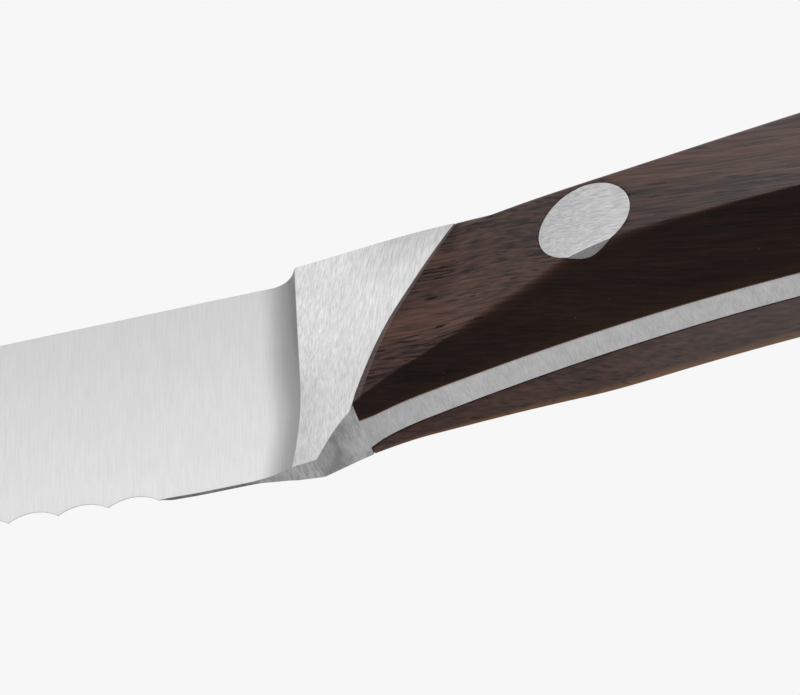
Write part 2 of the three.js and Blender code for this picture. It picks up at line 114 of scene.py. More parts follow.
class KnifeBolster(bpy.types.PropertyGroup):
    """Sizes of the bolster and of its joint with the wood"""

    thickness: length("Thickness", "Front of the bolster at the spine", 5)
    toe_thickness: length("Toe", "Front of the bolster at the heel", 1.5)
    rear_thickness: length("Rear", "Thickness where the wood starts at the spine", 7.26)
    hollow_spine: length("Hollow at spine", "Length of the hollow between blade and bolster", 2.4)
    hollow_heel: length("Hollow at heel", "Length of the hollow between blade and bolster", 4)
    front_lean: angle("Front lean", "Backward lean of the front edge", 4.6)
    front_straight: length("Front straight", "Depth to which the front edge is straight", 12)
    front_sweep: length("Front sweep", "Forward sweep of the lower end of the front edge", 1.06)
    toe_length: length("Toe length", "Flat underside", 2.7)
    toe_rear: length("Toe rear", "Thickness at the end of the flat underside", 1.85)
    toe_chamfer: length("Toe chamfer", "Lower ridge outside the edge of the underside", 0.05)
    toe_flare: slope("Toe flare", "Half thickness gained along the toe", 0.06)
    toe_crease: length("Toe crease", "Length over which the lower ridge turns from the toe to the ramp", 0.2)
    ramp_length: length("Ramp length", "Underside that climbs to the belly", 3.6)
    ramp_rise: length("Ramp rise", "Climb of that underside", 2.8)
    ramp_start: slope("Ramp start", "Slope at the start of the ramp", 1.12)
    ramp_rear: length("Ramp rear", "Thickness of the ridges near the top of the ramp", 4.98)
    ramp_flare: slope("Ramp flare", "Half thickness gained at the start of the ramp", 0.65)
    ramp_rear_flare: slope("Ramp rear flare", "Half thickness gained near the top of the ramp", 0.3)
    joint_top: length("Joint top", "Joint behind the bolster front at the spine", 13.8)
    joint_foot: length("Joint foot", "Joint behind the bolster front at the belly", 6)
    joint_drop: length("Joint drop", "Belly end of the joint below the spine", 17)
    joint_bend: length("Joint bend", "Joint behind the bolster front where it starts to bend", 9.32)
    joint_bend_drop: length("Joint bend drop", "Start of the bend below the spine", 8.2)
    joint_lean: slope("Joint lean", "Lean of the joint's straight upper part", 0.555)
    joint_foot_lean: slope("Joint foot lean", "Lean of the joint at the belly", 0.3)
    joint_hook: length("Joint hook", "Lowest point of the joint behind its foot", 0.22)
    joint_hook_drop: length("Joint hook drop", "Lowest point of the joint below the spine", 18.4)
    seam: length("Seam", "Gap between bolster and wood", 0.015)
    edge_softness: length("Edge softness", "Reach of the rounding along the bolster's edges", 0.16)


class KnifeHandle(bpy.types.PropertyGroup):
    """Sizes of the handle"""

    length: length("Length", "Bolster front to butt", 113)
    thickness: length("Thickness", "Across the flat sides", 15)
    flare_end: length("Flare end", "Where the sides become parallel", 30)
    flare_foot: length("Flare foot", "Across the lower ridges where the wood starts", 5.5)
    lower_flare: slope("Lower flare", "Half thickness gained along the flare, lower ridge", 0.225)
    flare_straight: length("Flare straight", "Where the lower ridge starts to become parallel", 22)
    upper_flare: slope("Upper flare", "Half thickness gained where the wood starts, upper ridge", 0.42)
    hump_place: length("Hump place", "Highest point of the back", 64)
    hump_rise: length("Hump rise", "Back above the line of the spine", 4.6)
    waist_place: length("Waist place", "Highest point of the belly", 52)
    waist_depth: length("Waist depth", "Belly below the line of the spine", 11)
    belly_start: slope("Belly start", "Slope of the belly behind the ramp", 0.5)
    belly_bend: length("Belly bend", "Where the belly straightens", 10.5)
    belly_bend_depth: length("Belly bend depth", "Belly below the line of the spine there", 16.55)
    belly_bend_slope: slope("Belly bend slope", "Slope of the belly there", 0.26)
    butt_back: length("Butt back", "Back below the line of the spine at the butt", 0.8)
    butt_back_slope: slope("Butt back slope", "Slope of the back at the butt", -0.2)
    butt_belly: length("Butt belly", "Belly below the line of the spine at the butt", 18.4)
    butt_belly_slope: slope("Butt belly slope", "Slope of the belly at the butt", -0.06)
    upper_start: length("Upper facet start", "Height of the upper facet where the wood starts", 0.84)
    upper_start_slope: slope("Upper start slope", "Growth of the upper facet where the wood starts", 0.21)
    upper_flare_height: length("Upper facet", "Height of the upper facet at the end of the flare", 3.4)
    upper_flare_slope: slope("Upper facet slope", "Growth of the upper facet at the end of the flare", -0.045)
    upper_height: length("Upper facet rear", "Height of the upper facet further back", 2.9)
    lower_toe: length("Toe facet", "Height of the lower facet at the end of the toe", 0.02)
    lower_ramp: length("Ramp facet", "Height of the lower facet near the top of the ramp", 0.5)
    lower_ramp_reach: length("Ramp facet reach", "Length over which that facet grows to the wood's", 0.3)
    lower_foot: length("Lower facet start", "Height of the lower facet where the wood starts", 1.0)
    lower_flared: length("Lower facet flared", "Height of that facet where the straight flare ends", 1.85)
    lower_flared_slope: slope("Lower facet slope", "Growth of the lower facet there", 0.09)
    lower_height: length("Lower facet", "Height of the lower facet", 2.75)
    back_width: length("Back width", "Flat of the back", 6.6)
    butt_corner: length("Butt corner", "Radius of the butt's corners", 6.5)
    butt_edge: length("Butt edge", "Radius of the butt's edges", 2.4)
    tang_foot: length("Tang foot", "Thickness of the tang at the bolster", 3.1)
    tang_neck: length("Tang neck", "Where the tang's quick taper ends", 7.4)
    tang_front: length("Tang front", "Thickness of the tang behind that taper", 2.5)
    tang_rear: length("Tang rear", "Thickness of the tang at the butt", 1.9)
    glue_line: length("Glue line", "Between scale and tang", 0.03)
    left_bulge: length("Left bulge", "Lower ridge of the left scale higher at the front rivet", 0.48)
    left_bulge_place: length("Left bulge place", "Where that ridge is highest", 24.3)
    right_foot: length("Right foot", "Lower ridge of the right scale lower at the bolster", 0.25)
    right_grip: length("Right grip", "Lower ridge of the right scale lower along the grip", 0.2)
    ridge_crisp: length("Crisp ridge", "Reach of the lower ridge's rounding where it is crisp", 0.14)
    ridge_soft: length("Soft ridge", "Reach of the lower ridge's rounding where it is softest", 0.9)
    ridge_soft_from: length("Soft from", "Where the lower ridge starts to soften", 12)
    ridge_softest: length("Softest", "Where the lower ridge is softest", 18.5)
    ridge_soft_to: length("Soft to", "Where the lower ridge is crisp again", 41)
    band_foot: length("Band at foot", "Smooth band along the wood's front end, at the belly", 0.68)
    band_top: length("Band at top", "Smooth band along the wood's front end, at the spine", 0.22)
    band_drop: length("Band drop", "Front edge of that band below the bolster's surface", 0.05)
    back_softness: length("Back softness", "Reach of the rounding along the back", 0.25)
    foot_softness: length("Foot softness", "Reach of the rounding along the tang", 0.1)


class KnifeRivets(bpy.types.PropertyGroup):
    """Sizes of the rivets"""

    head_left: length("Left head", "Diameter of the sleeve's head", 7.75)
    head_right: length("Right head", "Diameter of the post's head", 6.8)
    head_thickness: length("Head thickness", "Thickness of a head", 3.5)
    sleeve: length("Sleeve", "Diameter of the sleeve", 5)
    post: length("Post", "Diameter of the post", 3.2)
    clearance: length("Clearance", "Round a head and in the sleeve", 0.025)
    end_gap: length("End gap", "Sleeve to the other head, and post to the end of its bore", 0.4)
    bore_into_head: length("Bore", "Depth of the bore in the head", 1)
    front_place: length("Front place", "Front rivet behind the bolster front", 25.75)
    rear_inset: length("Rear inset", "Rear rivet ahead of the butt", 22.25)
    drop: length("Drop", "Centres below the middle of the side", 0.13)
    rim: length("Rim", "Reach of the rounding round a head", 0.025)
    facet_lift: length("Facet lift", "Facet across a head starts above the wood's lower ridge", 0.33)
    facet_turn: slope("Facet turn", "Share of that ridge's rise that the start of the facet follows", 0.85)
    facet_slope: slope("Facet slope", "Fall of that facet", 1.14)
    count: IntProperty(name="Count", description="Rivets along the handle", default=3, min=2, max=3)


class KnifeFinish(bpy.types.PropertyGroup):
    """Colours and surfaces"""

    steel: colour("Steel", "Bright lines of the brushed steel", 0.9, 0.9, 0.9)
    steel_dark: colour("Steel lines", "Dark lines of the brushed steel", 0.62, 0.62, 0.62)
    wood: colour("Wood", "Light streaks of the wood", 0.245, 0.113, 0.083)
    wood_dark: colour("Dark wood", "Dark streaks of the wood", 0.03, 0.0165, 0.015)
    wood_pore: colour("Pores", "Open pores of the wood", 0.0075, 0.006, 0.0055)
    wood_edge: colour("Wood edge", "Worn edges of the wood", 0.42, 0.21, 0.09)


class KnifeStage(bpy.types.PropertyGroup):
    """Floor, light and camera"""

    floor: colour("Floor", "Colour of the floor", 0.93, 0.93, 0.93)
    lens: FloatProperty(
        name="Lens", description="Focal length of the camera", default=340.2, unit="CAMERA"
    )
    key: FloatProperty(name="Key", description="Power of the large soft light", default=0.8, unit="POWER")


SETTINGS = {
    "knife_blade": KnifeBlade,
    "knife_bolster": KnifeBolster,
    "knife_handle": KnifeHandle,
    "knife_rivets": KnifeRivets,
    "knife_finish": KnifeFinish,
    "knife_stage": KnifeStage,
}


# Points across the skins, and rings along them
FLANK_ROWS = 16
FOOT_POINTS = 4
RIDGE_POINTS = 5
BACK_POINTS = 5
WOOD_FACET_ROWS = 4
WOOD_FLANK_ROWS = 12
WOOD_RIDGE_POINTS = 9
WOOD_RIDGE_START = 1 + FOOT_POINTS + WOOD_FACET_ROWS
TIP_RINGS = 25
SCALLOP_RINGS = 14
RUNOUT_RINGS = 7
HEEL_RINGS = 14
HOLLOW_RINGS = 40
FRONT_EDGE_RINGS = 7
BOLSTER_RINGS = 40
LIP_RINGS = 5
STEEL_FLARE_RINGS, STEEL_GRIP_RINGS, STEEL_BUTT_RINGS = 24, 60, 16
WOOD_FLARE_RINGS, WOOD_GRIP_RINGS, WOOD_BUTT_RINGS = 70, 110, 26
AROUND = 96
HEAD_RINGS = 16
RIM_SHARES = (0.03, 0.13, 0.3, 0.55, 1.0)

# Limits of the working-out: the smallest size, points closer than this are one, steps to find the joint
TINY = 1e-9
WELD = 1e-7
JOINT_STEPS = 12

# Shares: of a side that a rounding may take, of the bolster's softness at its lower ridge and at its rear lip
LONGEST_ROUNDING = 0.45
RIDGE_SOFTNESS = 0.3
LIP_SOFTNESS = 0.6

# Places in mm: the sag of the heel's edge, bumps of the wood's lower ridges counted from the ends of the
# flare, where a rivet's facet comes down to the wood, lines cut beside its crease, and how far the bolster's
# front follows the blade
SAG_START = (0, 2)
SAG_END = 7
LEFT_BULGE_LEAD = 2
LEFT_BULGE_STOP = 1.5
RIGHT_GRIP_LAG = 10
FLUSH_SPAN = (0.12, 0.35)
CREASE_LINES = (0.0, 0.06, 0.16)
BOLSTER_BLEND = (0, 2.5)

# Painted shade and painted light on the steel, as a brightness that scales its colour: painted shade in
# the hollow between blade and bolster, low on the bolster and at its top rear; painted shade and light
# along the underside; the blade darker at the spine and lighter at the edge; painted light at the steep
# top of the hollow; a rivet's head lighter towards one side, with a painted highlight above its crease.
# Tables hold (place in mm, brightness), ahead of the bolster's front edge for the hollow and along the
# knife for the underside. Spans are in mm: down from the spine, ahead or along.
HOLLOW_SHADE = (
    (0.0, 0.36), (0.4, 0.39), (1.3, 0.46), (1.8, 0.57), (2.3, 0.69), (2.8, 0.85), (3.4, 0.98), (4.0, 1.0),
)
UNDERSIDE_SHADE = (
    (-10.7, 0.6), (-10.5, 0.37), (-3.0, 0.37), (-2.2, 0.7), (0.0, 0.7), (0.9, 0.8), (2.5, 0.8), (2.8, 0.61),
    (4.2, 0.61), (5.4, 0.83), (8.0, 0.95), (14.0, 1.06),
)
SPINE_SHADE, EDGE_SHADE = 0.92, 1.13
SPINE_DEPTH = (0, 6)
HOLLOW_SHORTER = 0.5
HOLLOW_SHORTER_DEPTH = (8, 17)
STEEP_TOP_PAINTED_LIGHT = 0.4
STEEP_TOP_AHEAD = (0.2, 1.1)
FOOT_PAINTED_SHADE = 0.19
FOOT_DEPTH = (8, 14)
FOOT_RETURN = 0.55
FOOT_RETURN_ALONG = (1, 4)
CORNER_PAINTED_SHADE = 0.22
CORNER_ALONG = (4, 9)
FRONT_SHARE = 0.3
RIVET_PAINTED_LIGHT = 0.09
RIVET_SLANT = 0.6
CREASE_PAINTED_HIGHLIGHT = 0.3
CREASE_HIGHLIGHT_REACH = 0.1

# Wear and gloss of the wood, painted shade on the near scale's lower facet, a darker line behind the band,
# by place in mm along the knife where spans are given
SIDE_GLOSS = ((13.5, 41.5), (0.0, 0.85))
FAR_FACET_GLOSS = ((10.0, 20.0, 41.5), (0.04, 0.24, 0.6))
NEAR_FACET_PAINTED_SHADE = 0.56
NEAR_FACET_GLOSS = 0.22
BAND_LINE = 0.07
BAND_LINE_DARKNESS = 0.5
BAND_GLOSS = 0.5
FOOT_WEAR_TURN = 0.3
RIDGE_WEAR = 0.1
RIDGE_WEAR_ALONG = (20, 30)


# Curves

def mix(a, b, t):
    return a + (b - a) * t


def smooth(x, start, end):
    t = np.clip((x - start) / (end - start), 0.0, 1.0)
    return t * t * (3 - 2 * t)


def over(x, span):
    """Smooth step over a span that is given in mm."""
    return smooth(x, span[0] * MM, span[1] * MM)


def rail(*knots):
    """Cubic curve through knots of (place, value, slope), level beyond its ends."""
    places, values, slopes = (np.array(column, float) for column in zip(*knots))

    def value(x):
        x = np.clip(x, places[0], places[-1])
        i = np.clip(np.searchsorted(places, x, side="right") - 1, 0, len(places) - 2)
        span = places[i + 1] - places[i]
        t = (x - places[i]) / span
        return (
            (1 + 2 * t) * (1 - t) ** 2 * values[i]
            + t * (1 - t) ** 2 * span * slopes[i]
            + t * t * (3 - 2 * t) * values[i + 1]
            + t * t * (t - 1) * span * slopes[i + 1]
        )

    return value


def hollow(rise, run, along):
    """Rise of a circular arc that starts level and climbs by rise over run."""
    rise = np.maximum(rise, TINY)
    along = np.clip(along, 0.0, run)
    radius = (run * run + rise * rise) / (2 * rise)
    return radius - np.sqrt(np.maximum(radius * radius - along * along, 0.0))


def quarter(radius, along):
    """Drop of a rounded corner at a distance past the start of its quarter circle."""
    reach = np.clip(along, 0.0, radius)
    return radius - np.sqrt(radius * radius - reach * reach)


def stations(start, *stretches):
    """Places from a start through stretches of (end, count), where a count takes in both ends."""
    places = [np.array([start])]
    for end, count in stretches:
        places.append(np.linspace(start, end, count)[1:])
        start = end
    return np.concatenate(places)


def bend(a, corner, b, shares):
    """Points that round a corner, at shares of the way from a to b."""
    return (1 - shares) ** 2 * a + 2 * shares * (1 - shares) * corner + shares * shares * b


def soften(lines, corners):
    """Rounds corners of lines of points (rings, points, 3). corners holds, for the index of a point, how far
    from it the rounding starts, and its count of points."""
    columns = []
    for i in range(lines.shape[1]):
        here = lines[:, i]
        if i not in corners:
            columns.append(here[:, None])
            continue
        reach, count = corners[i]
        sides = []
        reaches = np.broadcast_to(reach, len(here)).copy()
        for other in (lines[:, i - 1], lines[:, i + 1]):
            away = other - here
            size = np.maximum(np.linalg.norm(away, axis=1), TINY)
            reaches = np.minimum(reaches, LONGEST_ROUNDING * size)
            sides.append(away / size[:, None])
        a, b = (here + side * reaches[:, None] for side in sides)
        shares = np.linspace(0.0, 1.0, count)[None, :, None]
        columns.append(bend(a[:, None], here[:, None], b[:, None], shares))
    return np.concatenate(columns, axis=1)


def filled(lines, gaps):
    """Lines of points with more points, evenly spread, after the ones whose indexes gaps holds."""
    columns = []
    for i in range(lines.shape[1]):
        columns.append(lines[:, i:i + 1])
        if i in gaps:
            t = np.linspace(0.0, 1.0, gaps[i] + 2)[None, 1:-1, None]
            columns.append(mix(lines[:, i:i + 1], lines[:, i + 1:i + 2], t))
    return np.concatenate(columns, axis=1)


def by_row(section, x):
    """Points of a skin whose rows each have their own places x (rings, rows)."""
    rows = [section(x[:, j])[:, j] for j in range(x.shape[1])]
    return np.stack(rows, axis=1)


class Knife:
    """The knife's outline, ridges and thicknesses, from the sizes kept on the scene."""

    def __init__(self, scene):
        self.blade = blade = scene.knife_blade
        self.bolster = bolster = scene.knife_bolster
        self.handle = handle = scene.knife_handle
        self.rivets = scene.knife_rivets
        self.half = handle.thickness / 2
        self.wedge = (blade.spine_thickness - blade.heel_thickness) / (2 * blade.height)
        self.ramp_end = bolster.toe_length + bolster.ramp_length
        self.grip_end = handle.length - handle.butt_corner
        self.scallops = int((blade.length - blade.plain_heel - blade.plain_tip) / blade.scallop_pitch)
        self.scallops_end = blade.plain_heel + self.scallops * blade.scallop_pitch
        self.lay_outline(blade, bolster, handle)
        self.lay_ridges(bolster, handle)
        self.lay_wood_ridges(bolster, handle)

    def lay_outline(self, blade, bolster, handle):
        """Belly, back and the joint between bolster and wood."""
        joint_foot, joint_top = bolster.joint_foot, bolster.joint_top
        self.belly_curve = rail(
            (bolster.toe_length, -blade.height, bolster.ramp_start),
            (self.ramp_end, -blade.height + bolster.ramp_rise, handle.belly_start),
            (handle.belly_bend, -handle.belly_bend_depth, handle.belly_bend_slope),
            (handle.waist_place, -handle.waist_depth, 0),
            (handle.length, -handle.butt_belly, handle.butt_belly_slope),
        )
        self.back_curve = rail(
            (joint_top, 0, 0),
            (handle.hump_place, handle.hump_rise, 0),
            (handle.length, -handle.butt_back, handle.butt_back_slope),
        )
        self.joint = rail(
            (-bolster.joint_hook_drop, joint_foot + bolster.joint_hook, 0),
            (-bolster.joint_drop, joint_foot, bolster.joint_foot_lean),
            (-bolster.joint_bend_drop, bolster.joint_bend, bolster.joint_lean),
            (0, joint_top, bolster.joint_lean),
        )

    def lay_ridges(self, bolster, handle):
        """Heights of the facets, and half thicknesses across their ridges and the back."""
        joint_foot, joint_top = bolster.joint_foot, bolster.joint_top
        flared = handle.flare_straight
        self.lower_facet = rail(
            (bolster.toe_length, handle.lower_toe, 0),
            (joint_foot - handle.lower_ramp_reach, handle.lower_ramp, handle.lower_flared_slope),
            (joint_foot, handle.lower_foot, 0),
            (flared, handle.lower_flared, handle.lower_flared_slope),
            (handle.flare_end, handle.lower_height, 0),
        )
        toe_end = bolster.toe_rear / 2 + bolster.toe_chamfer
        crease_start = bolster.toe_length - bolster.toe_crease
        self.lower_half = rail(
            (0, bolster.toe_thickness / 2 + bolster.toe_chamfer, bolster.toe_flare),
            (crease_start, toe_end - bolster.toe_flare * bolster.toe_crease, bolster.toe_flare),
            (bolster.toe_length, toe_end, bolster.ramp_flare),
            (joint_foot - handle.lower_ramp_reach, bolster.ramp_rear / 2, bolster.ramp_rear_flare),
            (joint_foot, handle.flare_foot / 2, handle.lower_flare),
            (flared, handle.flare_foot / 2 + handle.lower_flare * (flared - joint_foot), handle.lower_flare),
            (handle.flare_end, self.half, 0),
        )
        self.upper_facet = rail(
            (joint_top, handle.upper_start, handle.upper_start_slope),
            (handle.flare_end, handle.upper_flare_height, handle.upper_flare_slope),
            (handle.hump_place, handle.upper_height, 0),
        )
        self.upper_half = rail(
            (joint_top, bolster.rear_thickness / 2, handle.upper_flare),
            (handle.flare_end, self.half, 0),
        )
        flare = (bolster.rear_thickness - bolster.thickness) / (2 * joint_top)
        self.back_half = rail(
            (0, bolster.thickness / 2, flare),
            (joint_top, bolster.rear_thickness / 2, 0),
            (handle.flare_end, handle.back_width / 2, 0),
        )

    def lay_wood_ridges(self, bolster, handle):
        """How far each scale's lower ridge strays, and how softly the left one is rounded."""
        self.left_ridge = rail(
            (handle.flare_straight - LEFT_BULGE_LEAD * MM, 0, 0),
            (handle.left_bulge_place, handle.left_bulge, 0),
            (handle.flare_end - LEFT_BULGE_STOP * MM, 0, 0),
        )
        self.right_ridge = rail(
            (bolster.joint_foot, -handle.right_foot, 0),
            (handle.ridge_softest, 0, 0),
            (handle.flare_end + RIGHT_GRIP_LAG * MM, -handle.right_grip, 0),
        )
        self.ridge_reach = rail(
            (handle.ridge_soft_from, handle.ridge_crisp, 0),
            (handle.ridge_softest, handle.ridge_soft, 0),
            (handle.ridge_soft_to, handle.ridge_crisp, 0),
        )

    # Blade, by distance ahead of the bolster's front edge

    def spine_line(self, ahead):
        fall = np.maximum(0.0, 1 - (self.blade.length - ahead) / self.blade.spine_fall)
        return -self.blade.tip_drop * fall * fall

    def edge_line(self, ahead):
        blade = self.blade
        rise = math.tan(blade.edge_rise)

        def straight(place):
            return -blade.height + rise * np.maximum(0.0, place - blade.plain_heel)

        sag = over(ahead, SAG_START) * (1 - smooth(ahead, SAG_END * MM, blade.plain_heel))
        sweep = np.maximum(0.0, 1 - (blade.length - ahead) / blade.edge_sweep)
        left = -blade.tip_drop - blade.tip_height - straight(blade.length)
        return straight(ahead) + left * sweep * sweep - blade.heel_drop * sag

    def scallop(self, ahead):
        blade = self.blade
        pitch, depth = blade.scallop_pitch, blade.scallop_depth
        radius = (pitch * pitch / 4 + depth * depth) / (2 * depth)
        along = np.mod(ahead - blade.plain_heel, pitch) - pitch / 2
        rise = np.sqrt(radius * radius - along * along) - (radius - depth)
        inside = (ahead > blade.plain_heel) & (ahead < self.scallops_end)
        return np.where(inside, rise, 0.0)

    def front_edge(self, depth):
        bolster = self.bolster
        below = np.maximum(0.0, depth - bolster.front_straight) / (self.blade.height - bolster.front_straight)
        return math.tan(bolster.front_lean) * depth - bolster.front_sweep * below * below

    def front_half(self, depth):
        return mix(self.bolster.thickness, self.bolster.toe_thickness, depth / self.blade.height) / 2

    def blade_rings(self, ahead, right=False):
        """Half rings of the blade, from the edge up to the spine; the right half is mirrored to +z."""
        blade, bolster = self.blade, self.bolster
        ahead = np.asarray(ahead, float)[:, None]
        spine, line = self.spine_line(ahead), self.edge_line(ahead)
        edge = np.minimum(line + self.scallop(ahead), spine - blade.tip_height / 2)

        def half(y):
            return blade.heel_thickness / 2 + self.wedge * (y - line)

        width = 2 * half(edge)
        sharp = smooth(ahead, blade.plain_heel - blade.bevel_runout, blade.plain_heel)
        ground = (width - blade.apex_thickness) * sharp
        bevel = (width - blade.apex_thickness) / (math.tan(blade.bevel) - self.wedge)
        bevel = np.minimum(bevel, (spine - edge) / 2)
        toe = self.lower_facet(0.0)
        low = edge + mix(toe, bevel, smooth(ahead, 0.0, blade.plain_heel))
        shares = np.linspace(0.0, 1.0, FLANK_ROWS + 2)[None, :]
        y = np.concatenate([edge, edge, mix(low, spine, shares), spine], axis=1)
        depth = spine - y
        run = mix(bolster.hollow_spine, bolster.hollow_heel, depth / blade.height)
        z = half(y) + hollow(self.front_half(depth) - half(y), run, run - ahead)
        up = depth / np.maximum(spine - edge, TINY)
        z += 4 * blade.bulge * up * (1 - up) * smooth(ahead, 0.0, bolster.hollow_heel)
        far = z[:, 1] - ground[:, 0]
        middle = (z[:, 1] - far) / 2
        if right:
            z[:, 1], middle = far, -middle
        z[:, 0] = middle
        z[:, -1] = 0.0
        straighten = 1 - smooth(ahead, bolster.hollow_heel, blade.plain_heel)
        x = self.front_edge(depth) * straighten - ahead
        return self.softened(np.stack([x, y, z], axis=2))

    # Bolster, tang and handle, by distance behind the top of the bolster's front edge

    def outline(self, x):
        """Belly and back, how far the butt's corners squeeze the facets and draw the sides in."""
        handle = self.handle
        cut = quarter(handle.butt_corner, x - self.grip_end)
        belly = self.belly_curve(x) + cut
        back = self.back_curve(x) - cut
        squeeze = (back - belly) / (back - belly + 2 * cut)
        ease = 1 - quarter(handle.butt_edge, x - (handle.length - handle.butt_edge)) / self.half
        return belly, back, squeeze, ease

    def tang_half(self, x):
        handle = self.handle
        places = self.bolster.joint_foot, handle.tang_neck, handle.length
        return np.interp(x, places, (handle.tang_foot, handle.tang_front, handle.tang_rear)) / 2

    def belly_half(self, x):
        bolster = self.bolster
        toe = mix(bolster.toe_thickness, bolster.toe_rear, np.clip(x / bolster.toe_length, 0.0, 1.0)) / 2
        ramp = np.clip((x - bolster.toe_length) / bolster.ramp_length, 0.0, 1.0)
        return np.where(x < self.ramp_end, mix(toe, self.tang_half(self.ramp_end), ramp), self.tang_half(x))

    def corners(self, x):
        """Points (y, z) of the section: foot, lower ridge, upper ridge and edge of the back."""
        belly, back, squeeze, ease = self.outline(x)
        lower = np.stack([belly + self.lower_facet(x) * squeeze, self.lower_half(x) * ease], axis=1)
        upper = np.stack([back - self.upper_facet(x) * squeeze, self.upper_half(x) * ease], axis=1)
        edge = np.stack([back, self.back_half(x) * ease], axis=1)
        foot = np.stack([belly, np.minimum(self.belly_half(x), lower[:, 1])], axis=1)
        on_line = mix(edge, lower, (self.upper_facet(x) / (back - lower[:, 0]))[:, None])
        upper = np.where((x < self.bolster.joint_top)[:, None], on_line, upper)
        return foot, lower, upper, edge

    def softened(self, lines):
        reach = self.bolster.edge_softness
        last = lines.shape[1] - 2
        return soften(lines, {
            1: (reach, FOOT_POINTS),
            2: (RIDGE_SOFTNESS * reach, RIDGE_POINTS),
            last: (reach, BACK_POINTS),
        })

    def steel_rings(self, x, thickest=None, right=False):
        """Half rings of the forging, from the underside up to the back."""
        x = np.asarray(x, float)
        foot, lower, _, edge = self.corners(x)
        if right:
            joint = self.bolster.joint_foot
            lower[:, 0] += self.right_ridge(x) * smooth(x, joint - self.handle.lower_ramp_reach, joint)
        shares = np.linspace(0.0, 1.0, FLANK_ROWS + 2)[None, :, None]
        flank = mix(lower[:, None], edge[:, None], shares)
        flat = np.array([1.0, 0.0])
        yz = np.concatenate([(foot * flat)[:, None], foot[:, None], flank, (edge * flat)[:, None]], axis=1)
        if thickest is not None:
            yz[:, :, 1] = np.minimum(yz[:, :, 1], thickest(x)[:, None])
        places = np.broadcast_to(x[:, None, None], yz.shape[:2] + (1,))
        return self.softened(np.concatenate([places, yz], axis=2))

    def tang_rings(self, x):
        return self.steel_rings(x, self.tang_half)

    def wood_rings(self, x, near=True):
        """Closed rings of a scale: inner face, foot, lower facet, side, upper facet and back."""
        x = np.asarray(x, float)
        handle = self.handle
        foot, lower, upper, edge = self.corners(x)
        lower[:, 0] += (self.left_ridge if near else self.right_ridge)(x)
        inner = self.tang_half(x) + handle.glue_line
        climb = (inner - foot[:, 1]) / (lower[:, 1] - foot[:, 1])
        foot = mix(foot, lower, climb[:, None])
        top = np.stack([edge[:, 0], inner], axis=1)
        middle = (foot + top) / 2

        yz = np.stack([middle, foot, lower, upper, edge, top, middle], axis=1)
        places = np.broadcast_to(x[:, None, None], yz.shape[:2] + (1,))
        rings = soften(np.concatenate([places, yz], axis=2), {
            1: (handle.foot_softness, FOOT_POINTS),
            2: (self.ridge_reach(x) if near else handle.ridge_crisp, WOOD_RIDGE_POINTS),
            3: (handle.back_softness, BACK_POINTS),
            4: (handle.back_softness, BACK_POINTS),
            5: (handle.foot_softness, FOOT_POINTS),
        })
        ridge = FOOT_POINTS + WOOD_RIDGE_POINTS
        rings = filled(rings, {
            FOOT_POINTS: WOOD_FACET_ROWS,
            ridge: WOOD_FLANK_ROWS,
            ridge + BACK_POINTS: WOOD_FACET_ROWS,
        })
        return rings[:, :-1]

    def shade(self, rings, under):
        """Painted shade and light on half rings of the forging; under marks the points of its underside."""
        x, depth = rings[:, :, 0], -rings[:, :, 1]
        ahead = self.front_edge(depth) - x
        near_spine = 1 - over(depth, SPINE_DEPTH)
        shorter = HOLLOW_SHORTER * MM * over(depth, HOLLOW_SHORTER_DEPTH)
        hollow_part = np.interp((ahead + shorter) / MM, *np.array(HOLLOW_SHADE).T)
        steep_top = near_spine * (1 - over(ahead, STEEP_TOP_AHEAD))
        hollow_part = hollow_part * (1 + STEEP_TOP_PAINTED_LIGHT * steep_top)
        front = mix(SPINE_SHADE, EDGE_SHADE, np.clip(depth / self.blade.height, 0.0, 1.0)) * hollow_part
        # painted shade low on the bolster and at its top rear
        foot = over(depth, FOOT_DEPTH) * (1 - FOOT_RETURN * over(x, FOOT_RETURN_ALONG))
        corner = near_spine * over(x, CORNER_ALONG)
        rear = 1 - FOOT_PAINTED_SHADE * foot - CORNER_PAINTED_SHADE * corner
        flank = np.where(ahead > FRONT_SHARE * self.bolster.edge_softness, front, rear)
        places, levels = np.array(UNDERSIDE_SHADE).T
        return np.where(under, np.interp(x, places * MM, levels), flank)

    def joint_rows(self, section, gap):
        """Place of the joint on each row of a skin."""
        count = section(np.array([self.bolster.joint_top])).shape[1]
        x = np.full((1, count), (self.bolster.joint_top + self.bolster.joint_foot) / 2)
        for _ in range(JOINT_STEPS):
            x = self.joint(by_row(section, x)[:, :, 1]) + gap
        return x

    def rear_rows(self, rows, grip_rings, butt_rings):
        """Places of the rings behind the flare, alike on all rows."""
        grip = np.linspace(self.handle.flare_end, self.grip_end, grip_rings)[1:]
        turn = np.linspace(0.0, math.pi / 2, butt_rings)[1:]
        butt = self.grip_end + self.handle.butt_corner * np.sin(turn)
        return np.concatenate([grip, butt])[:, None] + np.zeros((1, rows))

    def rivet_centres(self):
        rivets = self.rivets
        places = np.linspace(rivets.front_place, self.handle.length - rivets.rear_inset, rivets.count)
        _, lower, upper, _ = self.corners(places)
        return np.stack([places, (lower[:, 0] + upper[:, 0]) / 2 - rivets.drop], axis=1)

    def crease(self, centre, radius):
        """Crease across a rivet's head: its height at the centre and its rise."""
        ends = centre[0] + np.array([-0.5, 0.5]) * radius
        heights = self.corners(ends)[1][:, 0] + self.left_ridge(ends)
        rise = self.rivets.facet_turn * (heights[1] - heights[0]) / radius
        return heights.mean() + self.rivets.facet_lift, rise

    def wood_half(self, x, y):
        """Half thickness at a place on the left scale's outside."""
        last = WOOD_RIDGE_START + WOOD_RIDGE_POINTS + WOOD_FLANK_ROWS
        rings = self.wood_rings(x)[:, 1:last]
        return np.array([np.interp(h, ring[:, 1], ring[:, 2]) for h, ring in zip(y, rings)])

